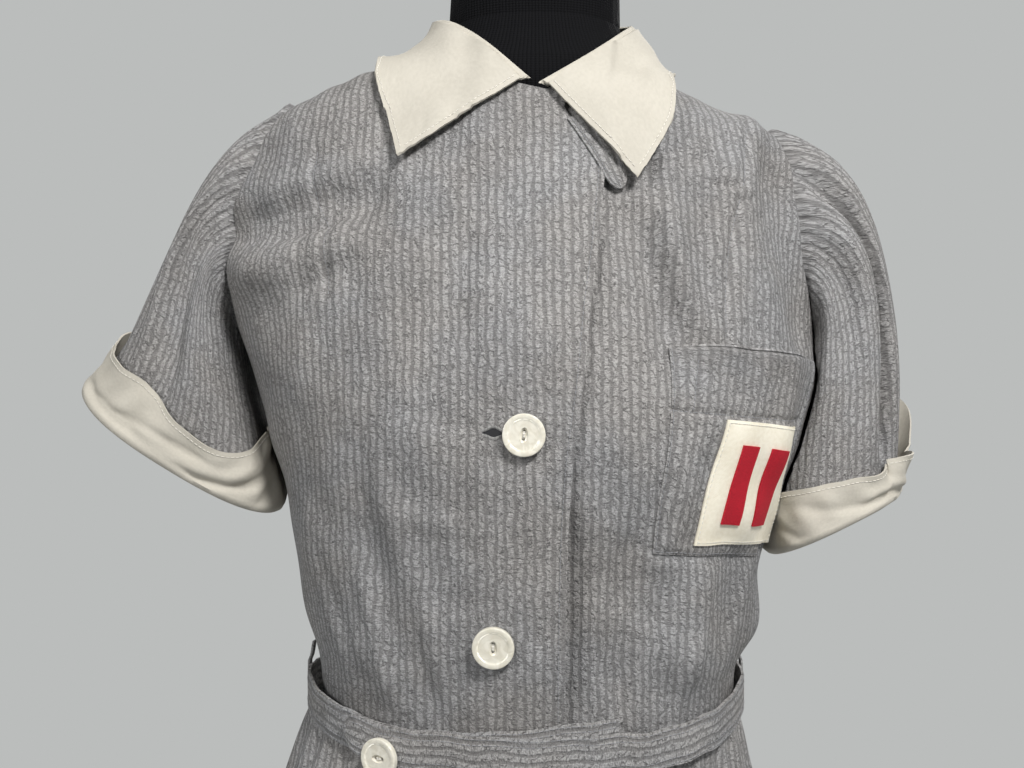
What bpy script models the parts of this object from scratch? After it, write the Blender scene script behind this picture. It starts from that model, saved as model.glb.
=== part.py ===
"""Nurse's short-sleeved button-front dress on a limbless dress form with a round base.

Metres, +Z up. The dress faces -Y and +X is the wearer's left. The origin is the centre of the
base's underside. Every piece of cloth is a closed wall: its outer points come from one body
surface with folds, and its inner points lie one cloth thickness further in.
"""
import math

import bmesh
import bpy
import numpy as np
from mathutils import Matrix, Vector

# Driving sizes
CLOTH = 0.0015
DOUBLE_CLOTH = 0.0018
SEAM_GAP = 0.0003
LAYER_GAP = 0.0008
WAIST_Z = 0.985
WAIST_SIDE_RISE = 0.020
HEM_Z = 0.370
UNDERARM_Z = 1.2346
TIP_SHIFT = {-1.0: 0.0100, 1.0: -0.0080}
SIDE_SEAM = 93.0
SHOULDER_SEAM = 73.0
SHOULDER_PULL = 0.35
ROUNDNESS = 2.2
FLY_RAISE = 0.0026
FLY_START_X = -0.046
FLY_FLAT_X = -0.030
UNDER_EDGE_X = -0.024
FLY_MIDDLE_X = 0.0
BUTTON_R = 0.0125
BUTTON_T = 0.0040
BUTTON_GAP = 0.0005
CUFF_DEPTH = 0.037
BELT_H = 0.024
FORM_TOP_Z = 1.505
FORM_BOTTOM_Z = 0.860
POLE_R = 0.015
BASE_R = 0.185
BASE_T = 0.018

# Rings of the body surface: height, half width to the wearer's right, to the left, depth in
# front and behind
BODY = np.array([
    # z      right   left    front   back
    [0.860, 0.1500, 0.1480, 0.1020, 0.1120],
    [0.920, 0.1480, 0.1420, 0.1080, 0.1000],
    [0.985, 0.1450, 0.1345, 0.1120, 0.0900],
    [1.008, 0.1465, 0.1365, 0.1160, 0.0910],
    [1.040, 0.1520, 0.1500, 0.1230, 0.0960],
    [1.086, 0.1610, 0.1510, 0.1290, 0.1040],
    [1.140, 0.1700, 0.1640, 0.1370, 0.1120],
    [1.172, 0.1790, 0.1780, 0.1395, 0.1170],
    [1.210, 0.1900, 0.1880, 0.1360, 0.1220],
    [1.260, 0.2060, 0.1880, 0.1240, 0.1270],
    [1.300, 0.2150, 0.1850, 0.1120, 0.1260],
    [1.330, 0.2110, 0.1820, 0.1010, 0.1200],
    [1.355, 0.1980, 0.1780, 0.0920, 0.1110],
    [1.375, 0.1880, 0.1620, 0.0850, 0.1020],
    [1.390, 0.1740, 0.1300, 0.0800, 0.0940],
    [1.403, 0.1500, 0.0980, 0.0750, 0.0870],
    [1.417, 0.1040, 0.0820, 0.0690, 0.0800],
    [1.432, 0.0780, 0.0740, 0.0620, 0.0730],
    [1.450, 0.0660, 0.0650, 0.0570, 0.0650],
    [1.475, 0.0610, 0.0610, 0.0550, 0.0600],
    [1.505, 0.0600, 0.0600, 0.0540, 0.0590],
])

# Rings of the skirt below the waist seam
SKIRT = np.array([
    # z      right   left    front   back
    [0.370, 0.2860, 0.2840, 0.2240, 0.2300],
    [0.600, 0.2520, 0.2440, 0.1900, 0.1960],
    [0.760, 0.2240, 0.2080, 0.1600, 0.1680],
    [0.860, 0.1990, 0.1790, 0.1400, 0.1430],
    [0.910, 0.1810, 0.1560, 0.1290, 0.1260],
    [0.945, 0.1660, 0.1420, 0.1210, 0.1100],
    [0.965, 0.1560, 0.1370, 0.1160, 0.0990],
    [0.985, 0.1450, 0.1345, 0.1120, 0.0900],
])

# Largest folds of the bodice's front: both ends, height of the ridge (trough below 0), width
FOLDS = np.array([
    # x0      z0      x1      z1      height   width
    [-0.205, 1.302, -0.120, 1.318, -0.0050, 0.014],
    [-0.190, 1.275, -0.105, 1.296, 0.0035, 0.014],
    [0.058, 1.325, 0.066, 1.235, -0.0045, 0.014],
    [0.142, 1.355, 0.158, 1.230, -0.0055, 0.011],
    [0.125, 1.350, 0.138, 1.250, 0.0030, 0.012],
    [-0.030, 1.375, -0.105, 1.250, 0.0030, 0.016],
    [-0.010, 1.345, -0.070, 1.215, -0.0028, 0.014],
    [-0.125, 1.180, -0.085, 1.040, -0.0040, 0.013],
    [-0.095, 1.150, -0.055, 1.020, 0.0032, 0.012],
    [-0.150, 1.140, -0.115, 1.030, 0.0028, 0.012],
    [0.055, 1.120, 0.050, 1.020, -0.0035, 0.013],
    [0.100, 1.095, 0.092, 1.015, 0.0030, 0.012],
    [0.120, 1.110, 0.118, 1.020, -0.0030, 0.011],
    [0.150, 1.215, 0.150, 1.120, 0.0030, 0.012],
])

# Folds of the back, where the photographed side gives no line: similar ones
BACK_FOLDS = np.array([
    # x0      z0      x1      z1      height   width
    [-0.130, 1.330, -0.080, 1.200, -0.0035, 0.016],
    [0.125, 1.320, 0.085, 1.190, -0.0035, 0.016],
    [-0.090, 1.130, -0.060, 1.020, -0.0035, 0.014],
    [0.085, 1.120, 0.055, 1.020, -0.0035, 0.014],
    [-0.020, 1.110, -0.012, 1.020, 0.0030, 0.014],
    [0.030, 1.180, 0.020, 1.040, -0.0025, 0.016],
    [0.140, 1.190, 0.115, 1.060, 0.0030, 0.014],
    [-0.145, 1.200, -0.115, 1.060, 0.0030, 0.014],
])

# Front edge of the overlapping right front: height and x
FRONT_EDGE = np.array([
    [0.370, 0.0200],
    [0.985, 0.0153],
    [1.072, 0.0153],
    [1.131, 0.0170],
    [1.169, 0.0200],
    [1.208, 0.0255],
    [1.251, 0.0300],
    [1.291, 0.0355],
    [1.342, 0.0410],
])

# Neckline of each front and of the back: angle from the centre front, and height
NECKLINE = np.array([
    [-6.0, 1.3860],
    [5.0, 1.3960],
    [45.0, 1.4100],
    [73.0, 1.4260],
    [110.0, 1.4360],
    [180.0, 1.4420],
])

# Armhole from the underarm to the shoulder tip: place along it, height, front and back angle
ARMHOLE = np.array([
    # along  z       front   back
    [0.00, 1.2346, 93.0, 93.0],
    [0.22, 1.2480, 82.0, 104.0],
    [0.45, 1.2820, 74.0, 111.0],
    [0.68, 1.3250, 71.0, 113.0],
    [0.86, 1.3620, 71.0, 106.0],
    [1.00, 1.3840, 73.0, 73.0],
])

# Sleeves: centre of the lower edge, the vectors to its outer and its back point, how much the
# back rises, then how far the cap stands out and drops, and how the cloth runs into the edge
SLEEVES = {
    "right": {"side": -1.0, "centre": (-0.240, -0.002, 1.168), "outer": (-0.066, 0.0, 0.040),
              "back": (-0.002, 0.048, 0.015), "back_lift": 0.0, "cap": 0.0580, "drop": 0.012,
              "outer_pull": (0.034, 0.0, 0.0365), "inner_pull": (0.012, 0.0, 0.055),
              "cuff_front": 0.85, "cuff_side": 0.28, "flare": 0.0030},
    "left": {"side": 1.0, "centre": (0.209, 0.002, 1.112), "outer": (0.040, 0.008, 0.016),
             "back": (0.006, 0.062, 0.012), "back_lift": 0.045, "cap": 0.084, "drop": 0.000,
             "outer_pull": (-0.002, 0.0, 0.075), "inner_pull": (-0.010, 0.0, 0.070),
             "cuff_front": 0.95, "cuff_side": 0.05, "flare": 0.0080},
}

# Collar: fold line and outer edge at stations from the right front end round the back
COLLAR = np.array([
    # station  fold x   fold y   fold z  edge x   edge y   edge z
    [0.00, -0.0069, -0.0830, 1.3990, -0.0850, -0.0830, 1.3400],
    [0.12, -0.0360, -0.0600, 1.4290, -0.0920, -0.0620, 1.3660],
    [0.24, -0.0590, -0.0300, 1.4490, -0.0960, -0.0320, 1.3890],
    [0.32, -0.0690, 0.0000, 1.4570, -0.0890, 0.0050, 1.4080],
    [0.39, -0.0650, 0.0300, 1.4640, -0.0880, 0.0480, 1.4060],
    [0.50, 0.0000, 0.0660, 1.4740, 0.0000, 0.1020, 1.3980],
    [0.61, 0.0630, 0.0300, 1.4620, 0.0830, 0.0480, 1.4000],
    [0.68, 0.0665, 0.0000, 1.4540, 0.0760, 0.0050, 1.4000],
    [0.76, 0.0580, -0.0320, 1.4410, 0.0780, -0.0300, 1.3860],
    [0.88, 0.0350, -0.0600, 1.4200, 0.0790, -0.0620, 1.3600],
    [1.00, 0.0030, -0.0840, 1.3960, 0.0580, -0.0880, 1.3260],
])

BUTTON_PLACES = [(-0.0090, 1.1775), (-0.0265, 1.0531), (-0.0200, 0.9270),
                 (-0.0190, 0.8010), (-0.0180, 0.6750), (-0.0170, 0.5490)]
BELT_BUTTON = (-0.0900, 0.9800)

# Colours: linear red, green, blue and roughness
GREY_CLOTH = (0.262, 0.262, 0.270, 0.85)
WHITE_CLOTH = (0.770, 0.745, 0.680, 0.80)
CREAM_FELT = (0.800, 0.740, 0.610, 0.90)
RED_FELT = (0.540, 0.008, 0.023, 0.90)
PEARL = (0.720, 0.690, 0.600, 0.25)
BLACK_KNIT = (0.012, 0.012, 0.014, 0.90)
PAINTED_STEEL = (0.030, 0.030, 0.032, 0.45)


for old in list(bpy.data.objects):
    bpy.data.objects.remove(old, do_unlink=True)


def material(name, look):
    """A Principled material from linear colour and roughness."""
    made = bpy.data.materials.new(name)
    made.use_nodes = True
    shader = made.node_tree.nodes["Principled BSDF"]
    shader.inputs["Base Color"].default_value = (look[0], look[1], look[2], 1.0)
    shader.inputs["Roughness"].default_value = look[3]
    shader.inputs["Metallic"].default_value = 0.0
    return made


def curve(keys, values, at):
    """A smooth curve through the values at increasing keys, held flat past both ends."""
    at = np.clip(at, keys[0], keys[-1])
    slopes = np.gradient(values, keys)
    i = np.clip(np.searchsorted(keys, at) - 1, 0, len(keys) - 2)
    span = keys[i + 1] - keys[i]
    u = (at - keys[i]) / span
    return ((2 * u**3 - 3 * u**2 + 1) * values[i] + (u**3 - 2 * u**2 + u) * span * slopes[i]
            + (3 * u**2 - 2 * u**3) * values[i + 1] + (u**3 - u**2) * span * slopes[i + 1])


def step(low, high, at):
    """A smooth rise from 0 at low to 1 at high."""
    u = np.clip((at - low) / (high - low), 0.0, 1.0)
    return u * u * (3.0 - 2.0 * u)


def ring_point(rings, z, angle):
    """Bare surface point at a height and an angle in degrees from the centre front."""
    turn = np.radians(angle)
    wide = np.where(np.sin(turn) < 0, curve(rings[:, 0], rings[:, 1], z),
                    curve(rings[:, 0], rings[:, 2], z))
    deep = np.where(np.cos(turn) > 0, curve(rings[:, 0], rings[:, 3], z),
                    curve(rings[:, 0], rings[:, 4], z))
    power = 2.0 / ROUNDNESS
    x = wide * np.sign(np.sin(turn)) * np.abs(np.sin(turn))**power
    y = -deep * np.sign(np.cos(turn)) * np.abs(np.cos(turn))**power
    rise = WAIST_SIDE_RISE * np.sin(turn)**4 * (1.0 - step(0.0, 0.075, np.abs(z - WAIST_Z)))
    return np.stack([x, y, z + rise], axis=-1)


def unit(vectors):
    """The same vectors at length 1."""
    return vectors / np.maximum(np.linalg.norm(vectors, axis=-1, keepdims=True), 1e-12)


def surface_normal(rings, z, angle):
    """Outward unit normal of the bare surface."""
    dz = 0.002
    da = 1.0
    up = ring_point(rings, z + dz, angle) - ring_point(rings, z - dz, angle)
    along = ring_point(rings, z, angle + da) - ring_point(rings, z, angle - da)
    return unit(np.cross(along, up))


def fold_height(table, x, z):
    """Sum of the soft ridges and troughs of a fold table at a place."""
    total = np.zeros_like(x)
    for x0, z0, x1, z1, height, width in table:
        length = math.hypot(x1 - x0, z1 - z0)
        along = ((x - x0) * (x1 - x0) + (z - z0) * (z1 - z0)) / length**2
        across = ((x - x0) * (z1 - z0) - (z - z0) * (x1 - x0)) / length
        ends = step(-0.25, 0.2, along) * (1.0 - step(0.8, 1.25, along))
        total = total + height * ends * np.exp(-(across / width)**2)
    return total


def bodice(z, angle, out=0.0):
    """Point of the dress above the waist, moved out along the bare surface's normal."""
    z = np.asarray(z, dtype=float)
    angle = np.asarray(angle, dtype=float)
    bare = ring_point(BODY, z, angle)
    front = np.cos(np.radians(angle)) > 0
    folds = np.where(front, fold_height(FOLDS, bare[..., 0], z),
                     fold_height(BACK_FOLDS, bare[..., 0], z))
    folds = folds * np.clip(np.abs(np.cos(np.radians(angle))) * 4.0, 0.0, 1.0)
    folds = folds * step(WAIST_Z, WAIST_Z + 0.05, z)
    on_fly = front * np.exp(-((bare[..., 0] - FLY_MIDDLE_X) / 0.030)**4)
    folds = folds * (1.0 - 0.75 * on_fly)
    return bare + (folds + out)[..., None] * surface_normal(BODY, z, angle)


def skirt(z, angle, out=0.0):
    """Point of the skirt, whose waves grow towards the hem."""
    z = np.asarray(z, dtype=float)
    angle = np.asarray(angle, dtype=float)
    bare = ring_point(SKIRT, z, angle)
    turn = np.radians(angle)
    depth = 0.013 * step(WAIST_Z, HEM_Z + 0.10, z) + 0.0016 * step(WAIST_Z, WAIST_Z - 0.03, z)
    waves = (np.cos(9.0 * turn + 0.6) + 0.55 * np.cos(5.0 * turn - 0.8)
             + 0.4 * np.cos(13.0 * turn + 1.9)) * depth
    waves = waves * (1.0 - 0.8 * np.exp(-(bare[..., 0] / 0.045)**2) * (bare[..., 1] < 0))
    return bare + (waves + out)[..., None] * surface_normal(SKIRT, z, angle)


def angle_at(rings, z, x):
    """Angle of the front point of the surface that lies at x."""
    wide = np.where(x < 0, curve(rings[:, 0], rings[:, 1], z), curve(rings[:, 0], rings[:, 2], z))
    return np.degrees(np.arcsin(np.sign(x) * (np.abs(x) / wide)**(ROUNDNESS / 2.0)))


def fly_raise(points):
    """How far the right front is moved out where it lies over the left front."""
    return FLY_RAISE * step(FLY_START_X, FLY_FLAT_X, points[..., 0])


def under_neck(points):
    """How far the left front is moved in where it lies under the right at the neck."""
    return 0.0009 * (1.0 - step(0.0, 0.03, points[..., 0])) * step(1.34, 1.37, points[..., 2])


def spread(first, last, count):
    """Grid of values from one edge to the other, a row for each edge value."""
    share = np.linspace(0.0, 1.0, count)
    return first[:, None] + (last - first)[:, None] * share[None, :]


def make_object(name, bm, look):
    """Close a bmesh as a named smooth object with its own material."""
    bmesh.ops.recalc_face_normals(bm, faces=bm.faces)
    mesh = bpy.data.meshes.new(name)
    bm.to_mesh(mesh)
    bm.free()
    mesh.shade_smooth()
    mesh.set_sharp_from_angle(angle=math.radians(40))
    mesh.materials.append(material(name, look))
    made = bpy.data.objects.new(name, mesh)
    bpy.context.scene.collection.objects.link(made)
    return made


def wall(name, grids, look):
    """Closed cloth wall from grids of outer and inner points that may share edges.

    Each grid is (outer, inner, wrap): rows by columns of points, wrap joins the last column
    to the first. Edges that belong to one face only get a rim.
    """
    bm = bmesh.new()
    found = {}
    pairs = []
    quads = []
    for outer, inner, wrap in grids:
        rows, columns = outer.shape[:2]
        index = np.zeros((rows, columns), dtype=int)
        for r in range(rows):
            for c in range(columns):
                key = tuple(np.round(outer[r, c], 6))
                if key not in found:
                    found[key] = len(pairs)
                    pairs.append((bm.verts.new(outer[r, c]), bm.verts.new(inner[r, c])))
                index[r, c] = found[key]
        for r in range(rows - 1):
            for c in range(columns if wrap else columns - 1):
                n = (c + 1) % columns
                quads.append((index[r, c], index[r, n], index[r + 1, n], index[r + 1, c]))
    sides = {}
    for quad in quads:
        corners = list(dict.fromkeys(quad))
        if len(corners) < 3:
            continue
        bm.faces.new([pairs[i][0] for i in corners])
        bm.faces.new([pairs[i][1] for i in reversed(corners)])
        for a, b in zip(corners, corners[1:] + corners[:1]):
            sides.setdefault(frozenset((a, b)), []).append((a, b))
    for uses in sides.values():
        if len(uses) == 1:
            a, b = uses[0]
            bm.faces.new([pairs[b][0], pairs[a][0], pairs[a][1], pairs[b][1]])
    return make_object(name, bm, look)


def grid_normals(points, wrap):
    """Unit normals of a grid of points, on the side given by columns cross rows."""
    if wrap:
        along = np.roll(points, -1, axis=1) - np.roll(points, 1, axis=1)
    else:
        along = np.gradient(points, axis=1)
    return unit(np.cross(along, np.gradient(points, axis=0)))


# Dense samples of the dress's outside, which loose pieces are kept clear of
SAMPLE_Z, SAMPLE_A = np.meshgrid(np.concatenate([np.linspace(0.99, 1.37, 90),
                                                 np.linspace(1.372, 1.448, 60)]),
                                 np.linspace(-180.0, 178.0, 180), indexing="ij")
SAMPLE_P = bodice(SAMPLE_Z, SAMPLE_A)
SAMPLE_P = SAMPLE_P + (fly_raise(SAMPLE_P) * (np.abs(SAMPLE_A) < 40)
                       * (SAMPLE_P[..., 0] < 0.05))[..., None] \
    * surface_normal(BODY, SAMPLE_Z, SAMPLE_A)
SAMPLE_N = surface_normal(BODY, SAMPLE_Z, SAMPLE_A).reshape(-1, 3)
SAMPLE_P = SAMPLE_P.reshape(-1, 3)


def lift(points, clearance):
    """Move points out so that each lies at least the clearance outside the dress."""
    flat = points.reshape(-1, 3).copy()
    room = np.broadcast_to(clearance, points.shape[:-1]).reshape(-1)
    for i, p in enumerate(flat):
        near = np.argmin(np.sum((SAMPLE_P - p)**2, axis=1))
        outside = np.dot(p - SAMPLE_P[near], SAMPLE_N[near])
        if outside < room[i]:
            flat[i] = p + SAMPLE_N[near] * (room[i] - outside)
    return flat.reshape(points.shape)


# Rows of a bodice panel: share of the rows that lie below the underarm and the neck corner
SIDE_ROWS = 9
ARM_ROWS = 9
PANEL_ROWS = SIDE_ROWS + ARM_ROWS


def side_line(side, column):
    """Heights and angles of a panel's outer edge: side seam, then armhole to the shoulder."""
    seam_z = np.linspace(WAIST_Z + SEAM_GAP / 2, UNDERARM_Z, SIDE_ROWS + 1)[:-1]
    along = np.linspace(0.0, 1.0, ARM_ROWS)
    hole_z = curve(ARMHOLE[:, 0], ARMHOLE[:, 1], along) + TIP_SHIFT[side] * along**2
    hole_a = curve(ARMHOLE[:, 0], ARMHOLE[:, column], along)
    return np.concatenate([seam_z, hole_z]), side * np.concatenate(
        [np.full(SIDE_ROWS, SIDE_SEAM), hole_a])


def pull_in(z, angle, points_of, side):
    """Shift a panel's outer edge back by half a seam gap, as an angle."""
    reach = np.linalg.norm(points_of(z, angle)[..., :2], axis=-1)
    return angle - side * np.degrees(SEAM_GAP / 2 / reach)


FLY_COLUMNS = 5
SIDE_COLUMNS = 11
NECK_ROWS = 6
FLY_TOP_Z = 1.378


def fly_columns(rings, heights, right_edge_x):
    """Angles of the columns that both fronts share where one lies over the other."""
    share = np.linspace(0.0, 1.0, FLY_COLUMNS)[None, :]
    x = UNDER_EDGE_X + (right_edge_x - UNDER_EDGE_X)[:, None] * share
    return angle_at(rings, heights[:, None], x)


def front_panel(side):
    """Heights and angles of one bodice front's grid, from its front edge to its side."""
    fly_z = np.linspace(WAIST_Z + SEAM_GAP / 2, FLY_TOP_Z, PANEL_ROWS - NECK_ROWS)
    edge_x = curve(FRONT_EDGE[:, 0], FRONT_EDGE[:, 1], fly_z) - 0.026 * step(1.342, 1.384, fly_z)
    fly_a = fly_columns(BODY, fly_z, edge_x)
    if side < 0:
        fly_a = fly_a[:, ::-1]
    last_z, last_a = side_line(side, 2)
    last_a = pull_in(last_z, last_a, bodice, side)
    fly_rows = len(fly_z)
    z = np.concatenate([np.repeat(fly_z[:, None], FLY_COLUMNS, axis=1),
                        spread(fly_z, last_z[:fly_rows], SIDE_COLUMNS + 1)[:, 1:]], axis=1)
    a = np.concatenate([fly_a, spread(fly_a[:, -1], last_a[:fly_rows], SIDE_COLUMNS + 1)[:, 1:]],
                       axis=1)
    share = (a[-1] - a[-1, 0]) / (a[-1, -1] - a[-1, 0])
    neck_a = np.linspace(-6.0 if side < 0 else 8.0, SHOULDER_SEAM, NECK_ROWS)
    neck_z = curve(NECKLINE[:, 0], NECKLINE[:, 1], neck_a)
    neck_a = side * neck_a
    z = np.concatenate([z, neck_z[:, None] + (last_z[fly_rows:] - neck_z)[:, None] * share])
    a = np.concatenate([a, neck_a[:, None] + (last_a[fly_rows:] - neck_a)[:, None] * share])
    return z, a


panel_points = {}
for name, side in (("bodice_front_right", -1.0), ("bodice_front_left", 1.0)):
    z, a = front_panel(side)
    a[-1] = a[-1] - side * SHOULDER_PULL
    flat = bodice(z, a)
    raised = fly_raise(flat) if side < 0 else -under_neck(flat)
    outer = bodice(z, a, raised)
    inner = bodice(z, a, raised - CLOTH)
    wall(name, [(outer, inner, False)], GREY_CLOTH)
    panel_points[name] = outer

back_grids = []
BACK_HALF_COLUMNS = 10
for side in (-1.0, 1.0):
    neck_rows = 4
    centre_rows = PANEL_ROWS - neck_rows
    neck_a = np.linspace(180.0, SHOULDER_SEAM, neck_rows + 1)
    centre_z = np.linspace(WAIST_Z + SEAM_GAP / 2, NECKLINE[-1, 1], centre_rows)
    first_z = np.concatenate([centre_z, curve(NECKLINE[:, 0], NECKLINE[:, 1], neck_a[1:])])
    first_a = side * np.concatenate([np.full(centre_rows, 180.0), neck_a[1:]])
    last_z, last_a = side_line(side, 3)
    last_a = pull_in(last_z, last_a, bodice, -side)
    z = spread(first_z, last_z, BACK_HALF_COLUMNS)
    a = spread(first_a, last_a, BACK_HALF_COLUMNS)
    a[-1] = a[-1] + side * SHOULDER_PULL
    back_grids.append((bodice(z, a), bodice(z, a, -CLOTH), False))
    panel_points["back", side] = bodice(z, a)
wall("bodice_back", back_grids, GREY_CLOTH)


def armhole_loop(side):
    """Outer points round an armhole from the shoulder tip down the front and up the back."""
    front = panel_points["bodice_front_right" if side < 0 else "bodice_front_left"]
    back = panel_points["back", side]
    loops = []
    for panel in (front, back):
        edge = panel[SIDE_ROWS:, -1]
        away = unit(edge - panel[SIDE_ROWS:, -2])
        loops.append(edge + away * 0.0005)
    front_loop, back_loop = loops
    tip = (front_loop[-1] + back_loop[-1]) / 2
    under = (front_loop[0] + back_loop[0]) / 2 + np.array([0.0, 0.0, 0.0006])
    tip = tip + np.array([side * 0.0005, 0.0, 0.0])
    return np.concatenate([[tip], front_loop[-2:0:-1], [under], back_loop[1:-1]])


def sleeve_points(plan, loop, places):
    """Rows of points from the armhole loop to the sleeve's lower edge."""
    count = len(loop)
    turn = 2.0 * np.pi * np.arange(count) / count
    outward = (np.sign(np.cos(turn)) * np.abs(np.cos(turn))**0.8)[:, None]
    backward = -(np.sign(np.sin(turn)) * np.abs(np.sin(turn))**0.8)[:, None]
    centre = np.array(plan["centre"])
    low = centre + np.array(plan["outer"]) * outward + np.array(plan["back"]) * backward
    low[:, 2] += plan["back_lift"] * np.clip(backward[:, 0], 0.0, 1.0)**1.5
    axis = unit(centre - loop.mean(axis=0))
    side = np.array([plan["side"], 0.0, 0.0])
    leave = (side * plan["cap"] * (0.45 + 0.55 * outward)
             + np.array([0.0, 0.018, 0.0]) * backward + axis * 0.020 * (1.0 - outward) / 2
             - np.array([0.0, 0.0, plan["drop"]]) * np.clip(outward, 0.0, 1.0))
    start = loop
    pull_one = loop + leave
    pull_two = (low + np.array(plan["outer_pull"]) * (1.0 + outward) / 2
                + np.array(plan["inner_pull"]) * (1.0 - outward) / 2)
    rows = []
    for k in places:
        k = np.broadcast_to(k, (count,))[:, None]
        row = ((1 - k)**3 * start + 3 * k * (1 - k)**2 * pull_one
               + 3 * k**2 * (1 - k) * pull_two + k**3 * low)
        folds = 0.0022 * np.sin(3.0 * turn + 0.5)[:, None] * np.sin(math.pi * k)
        row = row + unit(row - row.mean(axis=0)) * folds
        rows.append(row)
    rows = np.array(rows)
    room = 0.0012 + 0.0066 * step(0.0, 0.6, np.array([np.mean(k) for k in places]))
    return np.where(room[:, None, None] > 0.00121, lift(rows, room[:, None]), rows)


SLEEVE_ROWS = 9
for name, plan in SLEEVES.items():
    loop = armhole_loop(plan["side"])
    length = np.linalg.norm(np.diff(sleeve_points(plan, loop, np.linspace(0.0, 1.0, 7)), axis=0),
                            axis=-1).sum(axis=0)
    turn = 2.0 * np.pi * np.arange(len(loop)) / len(loop)
    share = CUFF_DEPTH / length * (plan["cuff_front"] + plan["cuff_side"] * np.cos(turn))
    places = [(1.0 - share) * t for t in np.linspace(0.0, 1.0, SLEEVE_ROWS)]
    places += [1.0 - share * t for t in (0.66, 0.33, 0.0)]
    sleeve = sleeve_points(plan, loop, places)
    normals = grid_normals(sleeve, True)
    middle = sleeve.mean(axis=1, keepdims=True)
    if np.sum(normals * (sleeve - middle)) < 0:
        normals = -normals
    wall("sleeve_" + name, [(sleeve, sleeve - normals * CLOTH, True)], GREY_CLOTH)
    rows = sleeve[SLEEVE_ROWS - 1:]
    down = unit(rows[-1] - rows[-2])
    rows = np.concatenate([rows, [rows[-1] + down * 0.0025]])
    normals = np.concatenate([normals[SLEEVE_ROWS - 1:], normals[-1:]])
    flare = 0.0015 + plan["flare"] * np.clip(np.cos(turn + 0.5), 0, 1)
    share_up = np.array([1.0, 0.6, 0.25, 0.0, 0.0])
    base = 0.0009 + 0.0012 * np.clip(-np.cos(turn), 0, 1)
    inner = rows + normals * (base[None, :] + share_up[:, None] * flare[None, :])[..., None]
    outer = inner + normals * DOUBLE_CLOTH
    wall("cuff_" + name, [(outer, inner, True)], WHITE_CLOTH)


def neckline_point(angle, out):
    """Place on the dress's neck seam at an angle, moved out by a distance."""
    height = curve(NECKLINE[:, 0], NECKLINE[:, 1], np.abs(angle))
    return bodice(height, angle, out)


# Collar: stand up from the neck seam, round fold, then the fall that lies over the dress
COLLAR_COLUMNS = 33
station = np.linspace(0.0, 1.0, COLLAR_COLUMNS)
fold = np.stack([curve(COLLAR[:, 0], COLLAR[:, i], station) for i in (1, 2, 3)], axis=-1)
edge = np.stack([curve(COLLAR[:, 0], COLLAR[:, i], station) for i in (4, 5, 6)], axis=-1)
outward = unit((edge - fold) * np.array([1.0, 1.0, 0.0]))
foot_angle = np.degrees(np.arctan2(fold[:, 0], -fold[:, 1]))
seam = neckline_point(foot_angle, -0.0002)
seam[:, 2] = seam[:, 2] + 0.0008
stand_in = fold - outward * 0.0026
stand_in[:, 2] = stand_in[:, 2] - 0.0015
fold_out = fold + outward * 0.0026
fold_out[:, 2] = fold_out[:, 2] - 0.0015
rows = [seam + (stand_in - seam) * 0.5, stand_in, fold, fold_out]
for share in (0.25, 0.5, 0.75, 1.0):
    row = fold_out + (edge - fold_out) * share
    room = 0.0056 + 0.0016 * step(0.80, 0.90, station) * share
    rows.append(lift(row, room))
collar_outer = np.array(rows)
collar_normals = grid_normals(collar_outer, False)
if np.sum(collar_normals[-2] * outward) < 0:
    collar_normals = -collar_normals
wall("collar", [(collar_outer, collar_outer - collar_normals * DOUBLE_CLOTH, False)],
     WHITE_CLOTH)


def lathe_button(name, centre, direction):
    """Round button with a raised rim and a shallow dish, its back on the given point."""
    profile = [(0.0, 0.0), (0.72, 0.0), (1.0, 0.35), (1.0, 0.75), (0.90, 1.0), (0.74, 0.92),
               (0.62, 0.66), (0.0, 0.58)]
    bm = bmesh.new()
    line = [bm.verts.new((r * BUTTON_R, 0.0, h * BUTTON_T)) for r, h in profile]
    edges = [bm.edges.new(pair) for pair in zip(line, line[1:])]
    bmesh.ops.spin(bm, geom=line + edges, cent=(0, 0, 0), axis=(0, 0, 1),
                   angle=2 * math.pi, steps=16, use_merge=False)
    bmesh.ops.remove_doubles(bm, verts=bm.verts, dist=0.00001)
    made = make_object(name, bm, PEARL)
    turn = Vector(direction).to_track_quat("Z", "Y").to_matrix().to_4x4()
    made.matrix_world = Matrix.Translation(Vector(centre)) @ turn
    return made


# Skirt: fronts with the same overlap, and a back
SKIRT_ROWS = 10
SKIRT_TOP_GAP = 0.0014
skirt_z = np.linspace(WAIST_Z - SKIRT_TOP_GAP, HEM_Z, SKIRT_ROWS)
skirt_fly = fly_columns(SKIRT, skirt_z, curve(FRONT_EDGE[:, 0], FRONT_EDGE[:, 1], skirt_z))
for name, side in (("skirt_front_right", -1.0), ("skirt_front_left", 1.0)):
    fly = skirt_fly[:, ::-1] if side < 0 else skirt_fly
    last = pull_in(skirt_z, np.full(SKIRT_ROWS, side * SIDE_SEAM), skirt, side)
    a = np.concatenate([fly, spread(fly[:, -1], last, SIDE_COLUMNS + 1)[:, 1:]], axis=1)
    z = np.repeat(skirt_z[:, None], a.shape[1], axis=1)
    raised = fly_raise(skirt(z, a)) if side < 0 else 0.0
    panel_points[name] = skirt(z, a, raised)
    wall(name, [(panel_points[name], skirt(z, a, raised - CLOTH), False)], GREY_CLOTH)
BACK_SKIRT_COLUMNS = 29
first = pull_in(skirt_z, np.full(SKIRT_ROWS, SIDE_SEAM), skirt, -1.0)
last = pull_in(skirt_z, np.full(SKIRT_ROWS, 360.0 - SIDE_SEAM), skirt, 1.0)
z = np.repeat(skirt_z[:, None], BACK_SKIRT_COLUMNS, axis=1)
a = spread(first, last, BACK_SKIRT_COLUMNS)
wall("skirt_back", [(skirt(z, a), skirt(z, a, -CLOTH), False)], GREY_CLOTH)


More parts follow.
